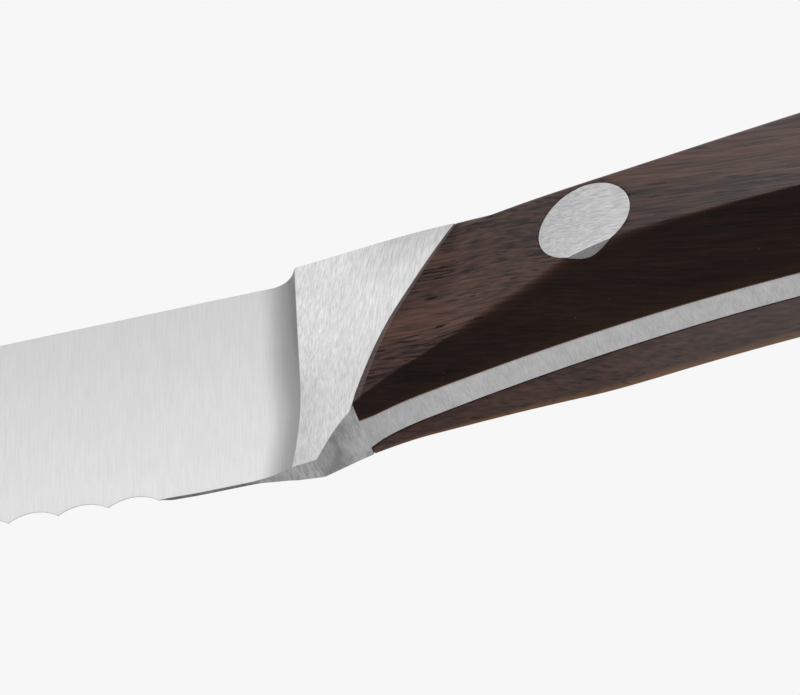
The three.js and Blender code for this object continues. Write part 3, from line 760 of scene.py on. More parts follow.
    def rivet_half(self, x, y, centre, radius):
        """Half thickness on a rivet's head: flat with the side, below its crease falling to the wood."""
        height, rise = self.crease(centre, radius)
        line = height + rise * (x - centre[0])
        _, lower, upper, _ = self.corners(x)
        share = (np.maximum(y, line) - lower[:, 0]) / (upper[:, 0] - lower[:, 0])
        below = np.maximum(0.0, line - y)
        facet = mix(lower[:, 1], upper[:, 1], share) - self.rivets.facet_slope * below
        proud = np.maximum(0.0, facet - self.wood_half(x, y))
        return facet - over(below, FLUSH_SPAN) * proud


# Meshes

def placed(points, scene):
    """Points moved from the knife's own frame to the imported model's."""
    low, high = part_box("blade_forging")
    blade = scene.knife_blade
    shift = (low.x + blade.length, low.y + blade.height, (low.z + high.z) / 2)
    return np.asarray(points, float) + np.array(shift)


def skin(rings):
    """Faces over closed rings (rings, points), with both ends closed, and each face's ring and row."""
    count, around = rings.shape[:2]
    faces, origin = [], []
    for s in range(count - 1):
        for j in range(around):
            k = (j + 1) % around
            a, b = s * around, (s + 1) * around
            faces.append((a + j, a + k, b + k, b + j))
            origin.append((s, j))
    faces.append(tuple(range(around)))
    faces.append(tuple(range((count - 1) * around, count * around))[::-1])
    origin += [(0, -1), (count - 1, -1)]
    return faces, origin


def new_object(name, points, faces, materials, face_material=None, values=None):
    """Object from points and faces, cleaned and smooth, with a value on each point where given."""
    mesh = bpy.data.meshes.new(name)
    mesh.from_pydata([tuple(p) for p in points], [], faces)
    for material in materials:
        mesh.materials.append(material)
    if face_material is not None:
        mesh.polygons.foreach_set("material_index", face_material)
    for key, numbers in (values or {}).items():
        layer = mesh.attributes.new(key, "FLOAT", "POINT")
        layer.data.foreach_set("value", np.asarray(numbers, np.float32))
    work = bmesh.new()
    work.from_mesh(mesh)
    bmesh.ops.remove_doubles(work, verts=work.verts, dist=WELD)
    bmesh.ops.recalc_face_normals(work, faces=work.faces)
    for face in work.faces:
        face.smooth = True
    work.to_mesh(mesh)
    work.free()
    piece = bpy.data.objects.new(name, mesh)
    bpy.context.scene.collection.objects.link(piece)
    return piece


def finished(piece, sharp):
    """Sharp edges above an angle in degrees, and normals that follow the large faces."""
    piece.data.set_sharp_from_angle(angle=math.radians(sharp))
    weighted = piece.modifiers.new("Weighted normals", "WEIGHTED_NORMAL")
    weighted.keep_sharp = True


def apply_modifiers(piece):
    """Makes what a piece's modifiers do permanent."""
    graph = bpy.context.evaluated_depsgraph_get()
    mesh = bpy.data.meshes.new_from_object(
        piece.evaluated_get(graph), preserve_all_data_layers=True, depsgraph=graph
    )
    piece.modifiers.clear()
    piece.data = mesh


def revolved(profile):
    """Closed rings of a turned piece from (radius, height) points."""
    turn = np.linspace(0.0, 2 * math.pi, AROUND, endpoint=False)
    circle = np.stack([np.cos(turn), np.sin(turn)], axis=1)
    return np.stack([
        np.concatenate([circle * radius, np.full((AROUND, 1), height)], axis=1) for radius, height in profile
    ])


def drill(piece, knife, scene, profile):
    """Cut a turned hole at every rivet."""
    rings = revolved(profile)
    for centre in knife.rivet_centres():
        shape = rings + np.array([*centre, 0.0])
        cutter = new_object("hole", placed(shape.reshape(-1, 3), scene), skin(shape)[0], [])
        cut = piece.modifiers.new("Hole", "BOOLEAN")
        cut.operation = "DIFFERENCE"
        cut.solver = "EXACT"
        cut.object = cutter
        apply_modifiers(piece)
        bpy.data.objects.remove(cutter)


def dress(piece, slot, *nodes):
    """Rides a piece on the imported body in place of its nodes."""
    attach(piece, BODY)
    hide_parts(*nodes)


# Materials

# Brushed finishes: the turn in degrees that brings the lines to Y, brightness, contrast of the lines,
# mottling, roughness, and lines a metre across and along. The bolster, tang and toe are brighter copies
# of the blade's steel, which paints light onto them; the rivets' steel is darker.
SATINS = {
    "blade_satin": {
        "turn": (0.0, 0.0, -3.6), "shade": 1.0, "contrast": 0.3, "mottle": 0.05, "rough": 0.3,
        "across": 9000.0, "along": 220.0, "relief": 0.3,
    },
    "bolster_satin": {
        "turn": (0.0, 0.0, 7.0), "shade": 1.07, "contrast": 1.25, "mottle": 0.1, "rough": 0.34,
        "across": 11000.0, "along": 700.0,
    },
    "tang_satin": {
        "turn": (90.0, 0.0, 0.0), "shade": 1.08, "contrast": 0.75, "mottle": 0.4, "rough": 0.38,
        "across": 10000.0, "along": 1300.0,
    },
    "toe_satin": {
        "turn": (90.0, 0.0, 0.0), "shade": 1.08, "contrast": 1.5, "mottle": 1.6, "rough": 0.38,
        "across": 8000.0, "along": 600.0,
    },
    "rivet_satin": {
        "turn": (0.0, 0.0, 98.8), "shade": 0.76, "contrast": 1.6, "mottle": 0.2, "rough": 0.34,
        "across": 9500.0, "along": 700.0,
    },
    "rivet_facet": {
        "turn": (90.0, 0.0, 0.0), "shade": 1.0, "contrast": 1.4, "mottle": 0.2, "rough": 0.5,
        "across": 9500.0, "along": 700.0, "metallic": 0.15,
    },
}
ROUGHEST, SMOOTHEST = 1.15, 0.85
BRUSH_RELIEF = 0.25
BRUSH_DEPTH = 0.00004

# Make-up of the brushing: how much wider and longer than a fine line a broad one is, the share of each,
# mottling in waves a metre, and how strongly all of it swings the brightness
BROAD_LINE_WIDER, BROAD_LINE_LONGER = 4.0, 2.0
FINE_LINE_SHARE, BROAD_LINE_SHARE = 0.82, 0.18
MOTTLE_WAVES = (900.0, 500.0, 900.0)
BRUSH_SWING = 2.5

# Wood: place and turn of its growth layers, how far they wander, which streaks are dark and light, and what
# its pores, specks and oil do
GRAIN_SHIFT = (0.0, 0.004, 0.002)
GRAIN_TURN = (-38.0, 0.0, 9.0)
GRAIN_WANDER = 0.0035
DARK_STREAK, LIGHT_STREAK = 0.12, 0.145
PORE_DARKNESS = 0.9
PORE_ROUGHNESS = 0.25
PORE_DEPTH = 0.00006
SPECK_BRIGHTNESS = 0.5
GRAIN_RELIEF = 0.35
STREAK_RELIEF = 0.5
STREAK_LEVELS = (0.3, 0.7)
OIL_ROUGHNESS = 0.35
WOOD_SPECULAR = 0.1

# Make-up of the grain: waves a metre along the knife, across the layers and along them, the share of each
# kind of streak, and the levels between which a pore, a cluster of pores or a speck shows
WANDER_WAVES = (28.0, 60.0, 60.0)
BROAD_WAVES = (16.0, 380.0, 160.0)
MIDDLE_WAVES = (80.0, 1600.0, 650.0)
FINE_WAVES = (240.0, 5000.0, 1300.0)
PORE_WAVES = (430.0, 5600.0, 1700.0)
CLUSTER_WAVES = (80.0, 480.0, 160.0)
SPECK_WAVES = (5200.0, 5200.0, 5200.0)
BROAD_SHARE, MIDDLE_SHARE, FINE_SHARE = 0.29, 0.22, 0.49
PORE_LEVELS = (0.66, 0.68)
CLUSTER_LEVELS = (0.47, 0.55)
SPECK_LEVELS = (0.83, 0.86)

# Places of the colour sockets on a Mix node
MIX_FACTOR, MIX_A, MIX_B, MIX_RESULT = 0, 6, 7, 2


def add(tree, kind, inputs=None, **settings):
    """Node with settings and unlinked or linked inputs."""
    made = tree.nodes.new(kind)
    for key, value in settings.items():
        setattr(made, key, value)
    for key, value in (inputs or {}).items():
        if isinstance(value, bpy.types.NodeSocket):
            tree.links.new(value, made.inputs[key])
        else:
            made.inputs[key].default_value = value
    return made


def maths(tree, operation, a, b=0.0, clamp=False):
    return add(tree, "ShaderNodeMath", {0: a, 1: b}, operation=operation, use_clamp=clamp).outputs[0]


def plus(tree, a, b):
    return maths(tree, "ADD", a, b)


def minus(tree, a, b):
    return maths(tree, "SUBTRACT", a, b)


def times(tree, a, b):
    return maths(tree, "MULTIPLY", a, b)


def ramp(tree, value, low, high, to_low=0.0, to_high=1.0):
    """Value carried from one range to another, held at its ends."""
    made = add(tree, "ShaderNodeMapRange", {
        "Value": value, "From Min": low, "From Max": high, "To Min": to_low, "To Max": to_high,
    })
    return made.outputs["Result"]


def opaque(colour_values):
    return (*colour_values, 1.0)


def blend_colour(tree, factor, a, b):
    inputs = {MIX_FACTOR: factor, MIX_A: a, MIX_B: b}
    return add(tree, "ShaderNodeMix", inputs, data_type="RGBA").outputs[MIX_RESULT]


def noise(tree, vector, scale, detail=2.0, roughness=0.5):
    """Noise whose three scales are given in waves a metre."""
    stretched = add(tree, "ShaderNodeVectorMath", {0: vector, 1: scale}, operation="MULTIPLY").outputs[0]
    made = add(tree, "ShaderNodeTexNoise", {
        "Vector": stretched, "Scale": 1.0, "Detail": detail, "Roughness": roughness,
    })
    return made.outputs["Fac"]


def on_points(tree, name):
    """Value that the mesh holds on its points."""
    return add(tree, "ShaderNodeAttribute", attribute_name=name).outputs["Fac"]


def turned(tree, degrees, shift=(0.0, 0.0, 0.0)):
    """Place on the piece, turned and moved."""
    made = add(tree, "ShaderNodeMapping", {
        "Vector": add(tree, "ShaderNodeTexCoord").outputs["Object"],
        "Location": shift,
        "Rotation": [math.radians(d) for d in degrees],
    })
    return made.outputs[0]


def bump(tree, shader, height, strength, distance):
    made = add(tree, "ShaderNodeBump", {"Height": height, "Strength": strength, "Distance": distance})
    tree.links.new(made.outputs["Normal"], shader.inputs["Normal"])


def new_material(name):
    """Material, its tree and its shader."""
    material = bpy.data.materials.new(name)
    material.use_nodes = True
    return material, material.node_tree, material.node_tree.nodes["Principled BSDF"]


def new_group(name, inputs, outputs):
    """Shader node group with named sockets, its tree, and its inner input and output nodes."""
    tree = bpy.data.node_groups.new(name, "ShaderNodeTree")
    for key, kind, default in inputs:
        socket = tree.interface.new_socket(key, in_out="INPUT", socket_type=kind)
        if default is not None:
            socket.default_value = default
    for key, kind in outputs:
        tree.interface.new_socket(key, in_out="OUTPUT", socket_type=kind)
    return tree, tree.nodes.new("NodeGroupInput"), tree.nodes.new("NodeGroupOutput")


def brushed_steel():
    """Group: fine lines along Y of its vector with broader streaks and mottling, between two colours."""
    name = "Brushed steel"
    if name in bpy.data.node_groups:
        return bpy.data.node_groups[name]
    tree, source, target = new_group(
        name,
        [
            ("Vector", "NodeSocketVector", None),
            ("Across", "NodeSocketFloat", 4000.0),
            ("Along", "NodeSocketFloat", 400.0),
            ("Contrast", "NodeSocketFloat", 1.0),
            ("Mottle", "NodeSocketFloat", 0.3),
            ("Bright", "NodeSocketColor", None),
            ("Dark", "NodeSocketColor", None),
            ("Shade", "NodeSocketFloat", 1.0),
        ],
        [("Colour", "NodeSocketColor"), ("Tone", "NodeSocketFloat"), ("Height", "NodeSocketFloat")],
    )
    given = source.outputs

    def lines(wider, longer, detail):
        across = maths(tree, "DIVIDE", given["Across"], wider)
        along = maths(tree, "DIVIDE", given["Along"], longer)
        scale = add(tree, "ShaderNodeCombineXYZ", {0: across, 1: along, 2: across}).outputs[0]
        return noise(tree, given["Vector"], scale, detail, 0.6)

    fine = lines(1.0, 1.0, 3.0)
    broad = lines(BROAD_LINE_WIDER, BROAD_LINE_LONGER, 2.0)
    height = plus(tree, times(tree, fine, FINE_LINE_SHARE), times(tree, broad, BROAD_LINE_SHARE))
    patches = noise(tree, given["Vector"], MOTTLE_WAVES, 4.0, 0.65)
    swing = times(tree, minus(tree, height, 0.5), given["Contrast"])
    drift = times(tree, minus(tree, patches, 0.5), given["Mottle"])
    swing = times(tree, plus(tree, swing, drift), BRUSH_SWING)
    tone = maths(tree, "ADD", swing, 0.5, True)
    colour_here = blend_colour(tree, tone, given["Dark"], given["Bright"])
    # Shade scales the colour: painted shade and painted light
    shaded = add(tree, "ShaderNodeVectorMath", {0: colour_here, "Scale": given["Shade"]}, operation="SCALE")
    tree.links.new(shaded.outputs[0], target.inputs["Colour"])
    tree.links.new(tone, target.inputs["Tone"])
    tree.links.new(height, target.inputs["Height"])
    return tree


def steel(name, finish, turn, shade, contrast, mottle, rough, across, along, relief=1.0, metallic=1.0):
    """Brushed steel of one of the finishes."""
    material, tree, shader = new_material(name)
    # shade paints light on brighter copies of one steel; the points' shade adds painted shade and light
    group = add(tree, "ShaderNodeGroup", {
        "Vector": turned(tree, turn),
        "Across": across,
        "Along": along,
        "Contrast": contrast,
        "Mottle": mottle,
        "Bright": opaque(min(1.0, c * shade) for c in finish.steel),
        "Dark": opaque(c * shade for c in finish.steel_dark),
        "Shade": on_points(tree, "shade"),
    }, node_tree=brushed_steel())
    roughness = ramp(tree, group.outputs["Tone"], 0.0, 1.0, rough * ROUGHEST, rough * SMOOTHEST)
    tree.links.new(group.outputs["Colour"], shader.inputs["Base Color"])
    tree.links.new(roughness, shader.inputs["Roughness"])
    bump(tree, shader, group.outputs["Height"], BRUSH_RELIEF * relief, BRUSH_DEPTH)
    shader.inputs["Metallic"].default_value = metallic
    return material


def satins(finish, *names):
    return [steel(name, finish, **SATINS[name]) for name in names]


def wood_grain():
    """Group: streaks along X, short open pores and rare bright specks."""
    name = "Wood grain"
    if name in bpy.data.node_groups:
        return bpy.data.node_groups[name]
    tree, source, target = new_group(
        name,
        [("Vector", "NodeSocketVector", None)],
        [("Streaks", "NodeSocketFloat"), ("Pores", "NodeSocketFloat"), ("Specks", "NodeSocketFloat")],
    )
    vector = source.outputs["Vector"]
    wander = minus(tree, noise(tree, vector, WANDER_WAVES), 0.5)
    sideways = times(tree, wander, GRAIN_WANDER)
    shift = add(tree, "ShaderNodeCombineXYZ", {0: 0.0, 1: sideways, 2: 0.0}).outputs[0]
    bent = add(tree, "ShaderNodeVectorMath", {0: vector, 1: shift}, operation="ADD").outputs[0]
    broad = noise(tree, bent, BROAD_WAVES)
    middle = noise(tree, bent, MIDDLE_WAVES, 3.0, 0.6)
    fine = noise(tree, bent, FINE_WAVES, 1.0, 0.6)
    streaks = plus(tree, times(tree, broad, BROAD_SHARE), times(tree, middle, MIDDLE_SHARE))
    streaks = plus(tree, streaks, times(tree, fine, FINE_SHARE))
    dashes = noise(tree, bent, PORE_WAVES, 0.0)
    clusters = noise(tree, bent, CLUSTER_WAVES, 1.0)
    pores = times(tree, ramp(tree, dashes, *PORE_LEVELS), ramp(tree, clusters, *CLUSTER_LEVELS))
    dots = noise(tree, vector, SPECK_WAVES, 0.0)
    tree.links.new(streaks, target.inputs["Streaks"])
    tree.links.new(pores, target.inputs["Pores"])
    tree.links.new(ramp(tree, dots, *SPECK_LEVELS), target.inputs["Specks"])
    return tree


def dark_wood(name, finish, grain=1.0, rough=0.42):
    """Oiled dark wood with lighter, worn edges; less grain gives a smoother look."""
    material, tree, shader = new_material(name)
    place = turned(tree, GRAIN_TURN, GRAIN_SHIFT)
    group = add(tree, "ShaderNodeGroup", {"Vector": place}, node_tree=wood_grain())
    streaks, pores, specks = (group.outputs[key] for key in ("Streaks", "Pores", "Specks"))
    tone = ramp(tree, streaks, 0.5 - DARK_STREAK / grain, 0.5 + LIGHT_STREAK / grain)
    body = blend_colour(tree, tone, opaque(finish.wood_dark), opaque(finish.wood))
    edged = blend_colour(tree, on_points(tree, "edge"), body, opaque(finish.wood_edge))
    open_pores = maths(tree, "MULTIPLY", pores, PORE_DARKNESS * grain ** 3, True)
    # painted shade and a darker line from the points, taken towards the pore colour
    dark = maths(tree, "MAXIMUM", open_pores, on_points(tree, "dirt"))
    pored = blend_colour(tree, dark, edged, opaque(finish.wood_pore))
    bright = times(tree, specks, SPECK_BRIGHTNESS)
    specked = blend_colour(tree, bright, pored, opaque(finish.wood_edge))
    streaky = ramp(tree, streaks, *STREAK_LEVELS, rough * ROUGHEST, rough * SMOOTHEST)
    roughness = plus(tree, streaky, times(tree, pores, PORE_ROUGHNESS))
    tree.links.new(specked, shader.inputs["Base Color"])
    tree.links.new(roughness, shader.inputs["Roughness"])
    tree.links.new(on_points(tree, "gloss"), shader.inputs["Coat Weight"])
    shader.inputs["Coat Roughness"].default_value = OIL_ROUGHNESS
    shader.inputs["Specular IOR Level"].default_value = WOOD_SPECULAR
    relief = minus(tree, times(tree, streaks, STREAK_RELIEF), pores)
    bump(tree, shader, relief, GRAIN_RELIEF * grain, PORE_DEPTH)
    return material


# Operators

# Steel of a face of the forging, and angles in degrees above which edges stay sharp
BLADE_STEEL, BOLSTER_STEEL, TANG_STEEL, TOE_STEEL = range(4)
STEEL_SHARP, WOOD_SHARP, RIVET_SHARP = 50.0, 40.0, 20.0

# Parts of a direction: below the first a scale's skin faces the tang, from the second on straight up or down
TO_TANG = -0.5
UPRIGHT = 0.999

# Mark above which a point is on a rivet's head
ON_HEAD = 0.99


class KNIFE_OT_forging(bpy.types.Operator):
    """Build the blade, bolster and tang as one forging"""

    bl_idname = "tomato_knife.forging"
    bl_label = "Forging"

    def execute(self, context):
        scene = context.scene
        knife = Knife(scene)
        ahead = self.blade_places(knife)
        joint = knife.joint_rows(knife.steel_rings, 0.0)
        left = self.half(knife, ahead, joint, right=False)
        right = self.half(knife, ahead, joint, right=True)
        rings = np.concatenate([left, right[:, -2:0:-1]], axis=1)
        faces, origin = skin(rings)
        kinds, shade = self.finishes(knife, left, len(ahead), origin)
        materials = satins(scene.knife_finish, "blade_satin", "bolster_satin", "tang_satin", "toe_satin")
        points = placed(rings.reshape(-1, 3), scene)
        piece = new_object("forged_steel", points, faces, materials, kinds, {"shade": shade.ravel()})
        half = knife.half
        shank = knife.rivets.sleeve / 2 + knife.rivets.clearance
        drill(piece, knife, scene, [(0.0, -half), (shank, -half), (shank, half), (0.0, half)])
        finished(piece, STEEL_SHARP)
        dress(piece, "forged_steel", "blade_forging")
        return {"FINISHED"}

    def blade_places(self, knife):
        """Distances ahead of the bolster's front edge at which the blade has a ring, from the tip."""
        blade, bolster = knife.blade, knife.bolster
        return stations(
            blade.length,
            (knife.scallops_end, TIP_RINGS),
            (blade.plain_heel, knife.scallops * SCALLOP_RINGS + 1),
            (blade.plain_heel - blade.bevel_runout, RUNOUT_RINGS),
            (bolster.hollow_heel, HEEL_RINGS),
            (bolster.edge_softness, HOLLOW_RINGS),
        )

    def half(self, knife, ahead, joint, right):
        """Rings of one half, from the tip to the butt and each from the underside up to the back."""
        soft = knife.bolster.edge_softness
        lip_reach = LIP_SOFTNESS * soft
        corner = np.array([0.0])
        front = knife.blade_rings(corner, right)
        start = front[:, :, 0]
        off = (front - by_row(knife.steel_rings, start))[0]

        def bolster_at(x):
            points = by_row(lambda places: knife.steel_rings(places, right=right), x)
            fade = 1 - over(x - start, BOLSTER_BLEND)
            return points + fade[:, :, None] * off * np.array([0.0, 1.0, 1.0])

        along = np.linspace(0.0, 1.0, BOLSTER_RINGS)[:, None]
        body = bolster_at(mix(start + soft, joint - lip_reach, along))
        lip = bolster_at(joint)
        floor = by_row(knife.tang_rings, joint)
        down = floor - lip
        share = np.minimum(1.0, lip_reach / np.maximum(np.linalg.norm(down, axis=2), TINY))
        inner = lip + down * share[:, :, None]
        front_turn = np.linspace(0.0, 1.0, FRONT_EDGE_RINGS)[1:-1, None, None]
        lip_turn = np.linspace(0.0, 1.0, LIP_RINGS)[1:, None, None]
        flare = mix(joint, knife.handle.flare_end, np.linspace(0.0, 1.0, STEEL_FLARE_RINGS)[1:, None])
        rear = knife.rear_rows(joint.shape[1], STEEL_GRIP_RINGS, STEEL_BUTT_RINGS)
        rings = np.concatenate([
            knife.blade_rings(ahead, right),
            bend(knife.blade_rings(corner + soft, right), front, body[:1], front_turn),
            body,
            bend(body[-1:], lip, inner, lip_turn),
            floor,
            by_row(knife.tang_rings, flare),
            by_row(knife.tang_rings, rear),
        ])
        if right:
            rings[:, :, 2] *= -1
        return rings

    def finishes(self, knife, left, blade_rings, origin):
        """Steel of each face, by its first ring and row, and the painted shade and light on each point."""
        rows = left.shape[1]
        edge_rings = FRONT_EDGE_RINGS - 2
        front_ring = blade_rings + edge_rings // 2
        joint_ring = blade_rings + edge_rings + BOLSTER_RINGS + 1
        foot_row, ridge_row = FOOT_POINTS // 2, 1 + FOOT_POINTS + RIDGE_POINTS // 2
        back_row = rows - 2 - BACK_POINTS // 2
        lowest = np.where(np.arange(len(left)) < front_ring, foot_row, ridge_row)
        under = np.arange(rows)[None, :] <= lowest[:, None]
        shade = knife.shade(left, under)
        shade = np.concatenate([shade, shade[:, -2:0:-1]], axis=1)
        kinds = []
        for ring, around in origin:
            row = around if around < rows - 1 else 2 * rows - 3 - around
            if row < 0 or row >= back_row or ring >= joint_ring:
                kinds.append(TANG_STEEL)
            elif row <= lowest[ring]:
                kinds.append(TOE_STEEL)
            else:
                kinds.append(BLADE_STEEL if ring < front_ring else BOLSTER_STEEL)
        return kinds, shade


class KNIFE_OT_scales(bpy.types.Operator):
    """Build the two wooden scales with their rivet holes"""

    bl_idname = "tomato_knife.scales"
    bl_label = "Scales"

    def execute(self, context):
        scene = context.scene
        knife = Knife(scene)
        finish = scene.knife_finish
        materials = [dark_wood("dark_wood", finish), dark_wood("smooth_wood", finish, grain=0.68, rough=0.36)]
        hole = self.hole(knife)
        for name, node, side in (("scale_left", "left_scale", 1), ("scale_right", "right_scale", -1)):
            near = side > 0
            rings = self.rings(knife, near)
            faces, origin = skin(rings)
            kinds, values = self.wear(rings, near, origin)
            points = rings.reshape(-1, 3) * np.array([1.0, 1.0, side])
            piece = new_object(name, placed(points, scene), faces, materials, kinds, values)
            drill(piece, knife, scene, hole)
            finished(piece, WOOD_SHARP)
            dress(piece, "dark_wood", node)
        return {"FINISHED"}

    def hole(self, knife):
        """Profile of the stepped hole through both scales."""
        rivets = knife.rivets
        seat = knife.half - rivets.head_thickness
        beyond = 2 * knife.half
        left, right, shank = (
            size / 2 + rivets.clearance for size in (rivets.head_left, rivets.head_right, rivets.sleeve)
        )
        return [
            (0.0, -beyond), (right, -beyond), (right, -seat), (shank, -seat),
            (shank, seat), (left, seat), (left, beyond), (0.0, beyond),
        ]

    def rings(self, knife, near):
        """Rings of a scale: smooth band along its front end, dark line behind it, then on to the butt."""
        handle, bolster = knife.handle, knife.bolster

        def section(x):
            return knife.wood_rings(x, near)

        joint = knife.joint_rows(section, bolster.seam)
        front = by_row(section, joint)
        rows = front.shape[1]
        across = np.roll(front, -1, axis=1) - np.roll(front, 1, axis=1)
        outward = np.stack([np.zeros((1, rows)), -across[:, :, 2], across[:, :, 1]], axis=2)
        outward /= np.maximum(np.linalg.norm(outward, axis=2, keepdims=True), TINY)
        outer = (outward[:, :, 2] > TO_TANG) & (np.abs(outward[:, :, 1]) < UPRIGHT)
        height = np.clip(1 + front[:, :, 1] / bolster.joint_drop, 0.0, 1.0)
        width = mix(handle.band_foot, handle.band_top, height) if near else handle.band_drop
        band_end = joint + width * outer
        lip = front - outward * (handle.band_drop * outer)[:, :, None]
        line = BAND_LINE * MM * outer
        along = np.linspace(0.0, 1.0, WOOD_FLARE_RINGS)[:, None]
        flare = mix(band_end + 2 * line, handle.flare_end, along)
        rear = knife.rear_rows(rows, WOOD_GRIP_RINGS, WOOD_BUTT_RINGS)
        places = np.concatenate([band_end, band_end + line, flare, rear])
        return np.concatenate([lip, by_row(section, places)])

    def wear(self, rings, near, origin):
        """Wood of each face; how worn and glossy each point is, with painted shade and a darker line."""
        ridge = slice(WOOD_RIDGE_START, WOOD_RIDGE_START + WOOD_RIDGE_POINTS)
        crest = WOOD_RIDGE_START + WOOD_RIDGE_POINTS // 2
        facet, side = slice(FOOT_POINTS, crest - 1), slice(crest - 1, None)
        kinds = [int(row >= 0 and (ring == 0 or row < crest)) for ring, row in origin]
        place = rings[:, :, 0] / MM
        dirt = np.zeros(rings.shape[:2])
        edge = np.zeros(rings.shape[:2])
        gloss = np.interp(place, *SIDE_GLOSS)
        if near:
            fade = smooth(np.arange(WOOD_RIDGE_POINTS), WOOD_RIDGE_POINTS - 1, 0)
            # painted shade on the near lower facet, fading up its ridge
            dirt[:, facet] = NEAR_FACET_PAINTED_SHADE
            dirt[:, ridge] = NEAR_FACET_PAINTED_SHADE * fade
            gloss[:, facet] = NEAR_FACET_GLOSS
            gloss[:, ridge] = mix(gloss[:, ridge], NEAR_FACET_GLOSS, fade)
            # a darker line behind the band
            dirt[2, side] = BAND_LINE_DARKNESS
            gloss[:2, side] = BAND_GLOSS
            turn = np.linspace(FOOT_WEAR_TURN, math.pi - FOOT_WEAR_TURN, FOOT_POINTS)
            edge[:, 1:1 + FOOT_POINTS] = np.sin(turn)
            worn = RIDGE_WEAR * over(rings[:, 0, 0], RIDGE_WEAR_ALONG)
            edge[:, ridge] = worn[:, None] * np.sin(np.linspace(0.0, math.pi, WOOD_RIDGE_POINTS))
        else:
            gloss[:, facet] = np.interp(place[:, facet], *FAR_FACET_GLOSS)
            edge[:, ridge] = 1.0
        return kinds, {"edge": edge.ravel(), "dirt": dirt.ravel(), "gloss": gloss.ravel()}


class KNIFE_OT_rivets(bpy.types.Operator):
    """Build both halves of every rivet, ground flush with the wood"""

    bl_idname = "tomato_knife.rivets"
    bl_label = "Rivets"

    def execute(self, context):
        scene = context.scene
        knife = Knife(scene)
        rivets = knife.rivets
        materials = satins(scene.knife_finish, "rivet_satin", "rivet_facet")
        seat = knife.half - rivets.head_thickness
        bore_end = seat + rivets.bore_into_head
        sleeve_end, post_end = rivets.end_gap - seat, rivets.end_gap - bore_end
        left, right = rivets.head_left / 2, rivets.head_right / 2
        sleeve, post = rivets.sleeve / 2, rivets.post / 2
        bore = post + rivets.clearance
        bodies = {
            "left": [
                (0.0, bore_end), (bore, bore_end), (bore, sleeve_end),
                (sleeve, sleeve_end), (sleeve, seat), (left, seat),
            ],
            "right": [(0.0, post_end), (post, post_end), (post, seat), (right, seat)],
        }
        for place, centre in zip(("front", "middle", "rear"), knife.rivet_centres()):
            for side, body in bodies.items():
                self.build(scene, knife, place, side, body, centre, materials)
        return {"FINISHED"}

    def build(self, scene, knife, place, side, body, centre, materials):
        """One half: a turned body, whose last ring is the head's edge, and a head that follows the wood."""
        radius, rim = body[-1][0], knife.rivets.rim

        def crown(x, y):
            out = np.hypot(x - centre[0], y - centre[1])
            t = np.clip((out - radius + rim) / rim, 0.0, 1.0)
            return knife.rivet_half(x, y, centre, radius) - rim * (1 - np.sqrt(1 - t * t))

        radii = [radius, radius, *(radius - rim * share for share in RIM_SHARES)]
        radii += list(np.linspace(radius - rim, 0.0, HEAD_RINGS)[1:])
        rings = revolved(body + [(r, 0.0) for r in radii])
        rings[:, :, :2] += centre
        head = len(body)
        top = rings[head:].reshape(-1, 3)
        top[:, 2] = crown(top[:, 0], top[:, 1])
        rings[head:] = top.reshape(-1, AROUND, 3)
        rings[head, :, 2] -= rim
        points = rings.reshape(-1, 3)
        values = {"shade": np.ones(len(points))}
        piece = new_object(f"rivet_{place}_{side}", points, skin(rings)[0], materials, values=values)
        self.cut_crease(piece, knife, centre, radius, crown, AROUND * (head + 1))
        self.settle(piece.data, knife, scene, side, centre, radius)
        finished(piece, RIVET_SHARP)
        dress(piece, "rivet_steel", place + ("_rivet_sleeve" if side == "left" else "_rivet_post"))

    def cut_crease(self, piece, knife, centre, radius, crown, first):
        """A crease where the facet crosses the head, whose points start at first, and its finish below it."""
        height, rise = knife.crease(centre, radius)
        start = Vector((centre[0], height, 0.0))
        upward = Vector((-rise, 1.0, 0.0)).normalized()
        work = bmesh.new()
        work.from_mesh(piece.data)
        marked = work.verts.layers.float.new("head")
        for v in work.verts:
            v[marked] = float(v.index >= first)
        for lift in CREASE_LINES:
            head = [f for f in work.faces if all(v[marked] > ON_HEAD for v in f.verts)]
            parts = head + list({v for f in head for v in f.verts} | {e for f in head for e in f.edges})
            made = bmesh.ops.bisect_plane(
                work, geom=parts, dist=WELD, plane_co=start + lift * MM * upward, plane_no=upward
            )
            cut = [v for v in made["geom_cut"] if isinstance(v, bmesh.types.BMVert)]
            if cut:
                x, y = (np.array([getattr(v.co, axis) for v in cut]) for axis in "xy")
                for v, z in zip(cut, crown(x, y)):
                    v.co.z = z
                    v[marked] = 1.0
        work.verts.layers.float.remove(marked)
        above_seat = knife.half - knife.rivets.head_thickness + MM
        for face in work.faces:
            middle = face.calc_center_median()
            face.material_index = int(middle.z > above_seat and (middle - start).dot(upward) < 0)
        work.to_mesh(piece.data)
        work.free()

    def settle(self, mesh, knife, scene, side, centre, radius):
        """Painted light on the points, lighter towards one side and with a painted highlight above the
        crease;
        the points are then moved into place on their side of the knife.
        """
        points = np.zeros(len(mesh.vertices) * 3)
        mesh.vertices.foreach_get("co", points)
        points = points.reshape(-1, 3)
        height, rise = knife.crease(centre, radius)
        # painted light across the head and a painted highlight just above the crease
        above = np.maximum(0.0, points[:, 1] - height - rise * (points[:, 0] - centre[0]))
        tilt = (points[:, 0] - centre[0] - RIVET_SLANT * (points[:, 1] - centre[1])) / radius
        shade = 1 + RIVET_PAINTED_LIGHT * tilt + CREASE_PAINTED_HIGHLIGHT * np.exp(-above / (CREASE_HIGHLIGHT_REACH * MM))
        mesh.attributes["shade"].data.foreach_set("value", shade)
        if side == "right":
            points[:, 2] *= -1
            mesh.flip_normals()
        mesh.vertices.foreach_set("co", placed(points, scene).ravel())
        mesh.update()


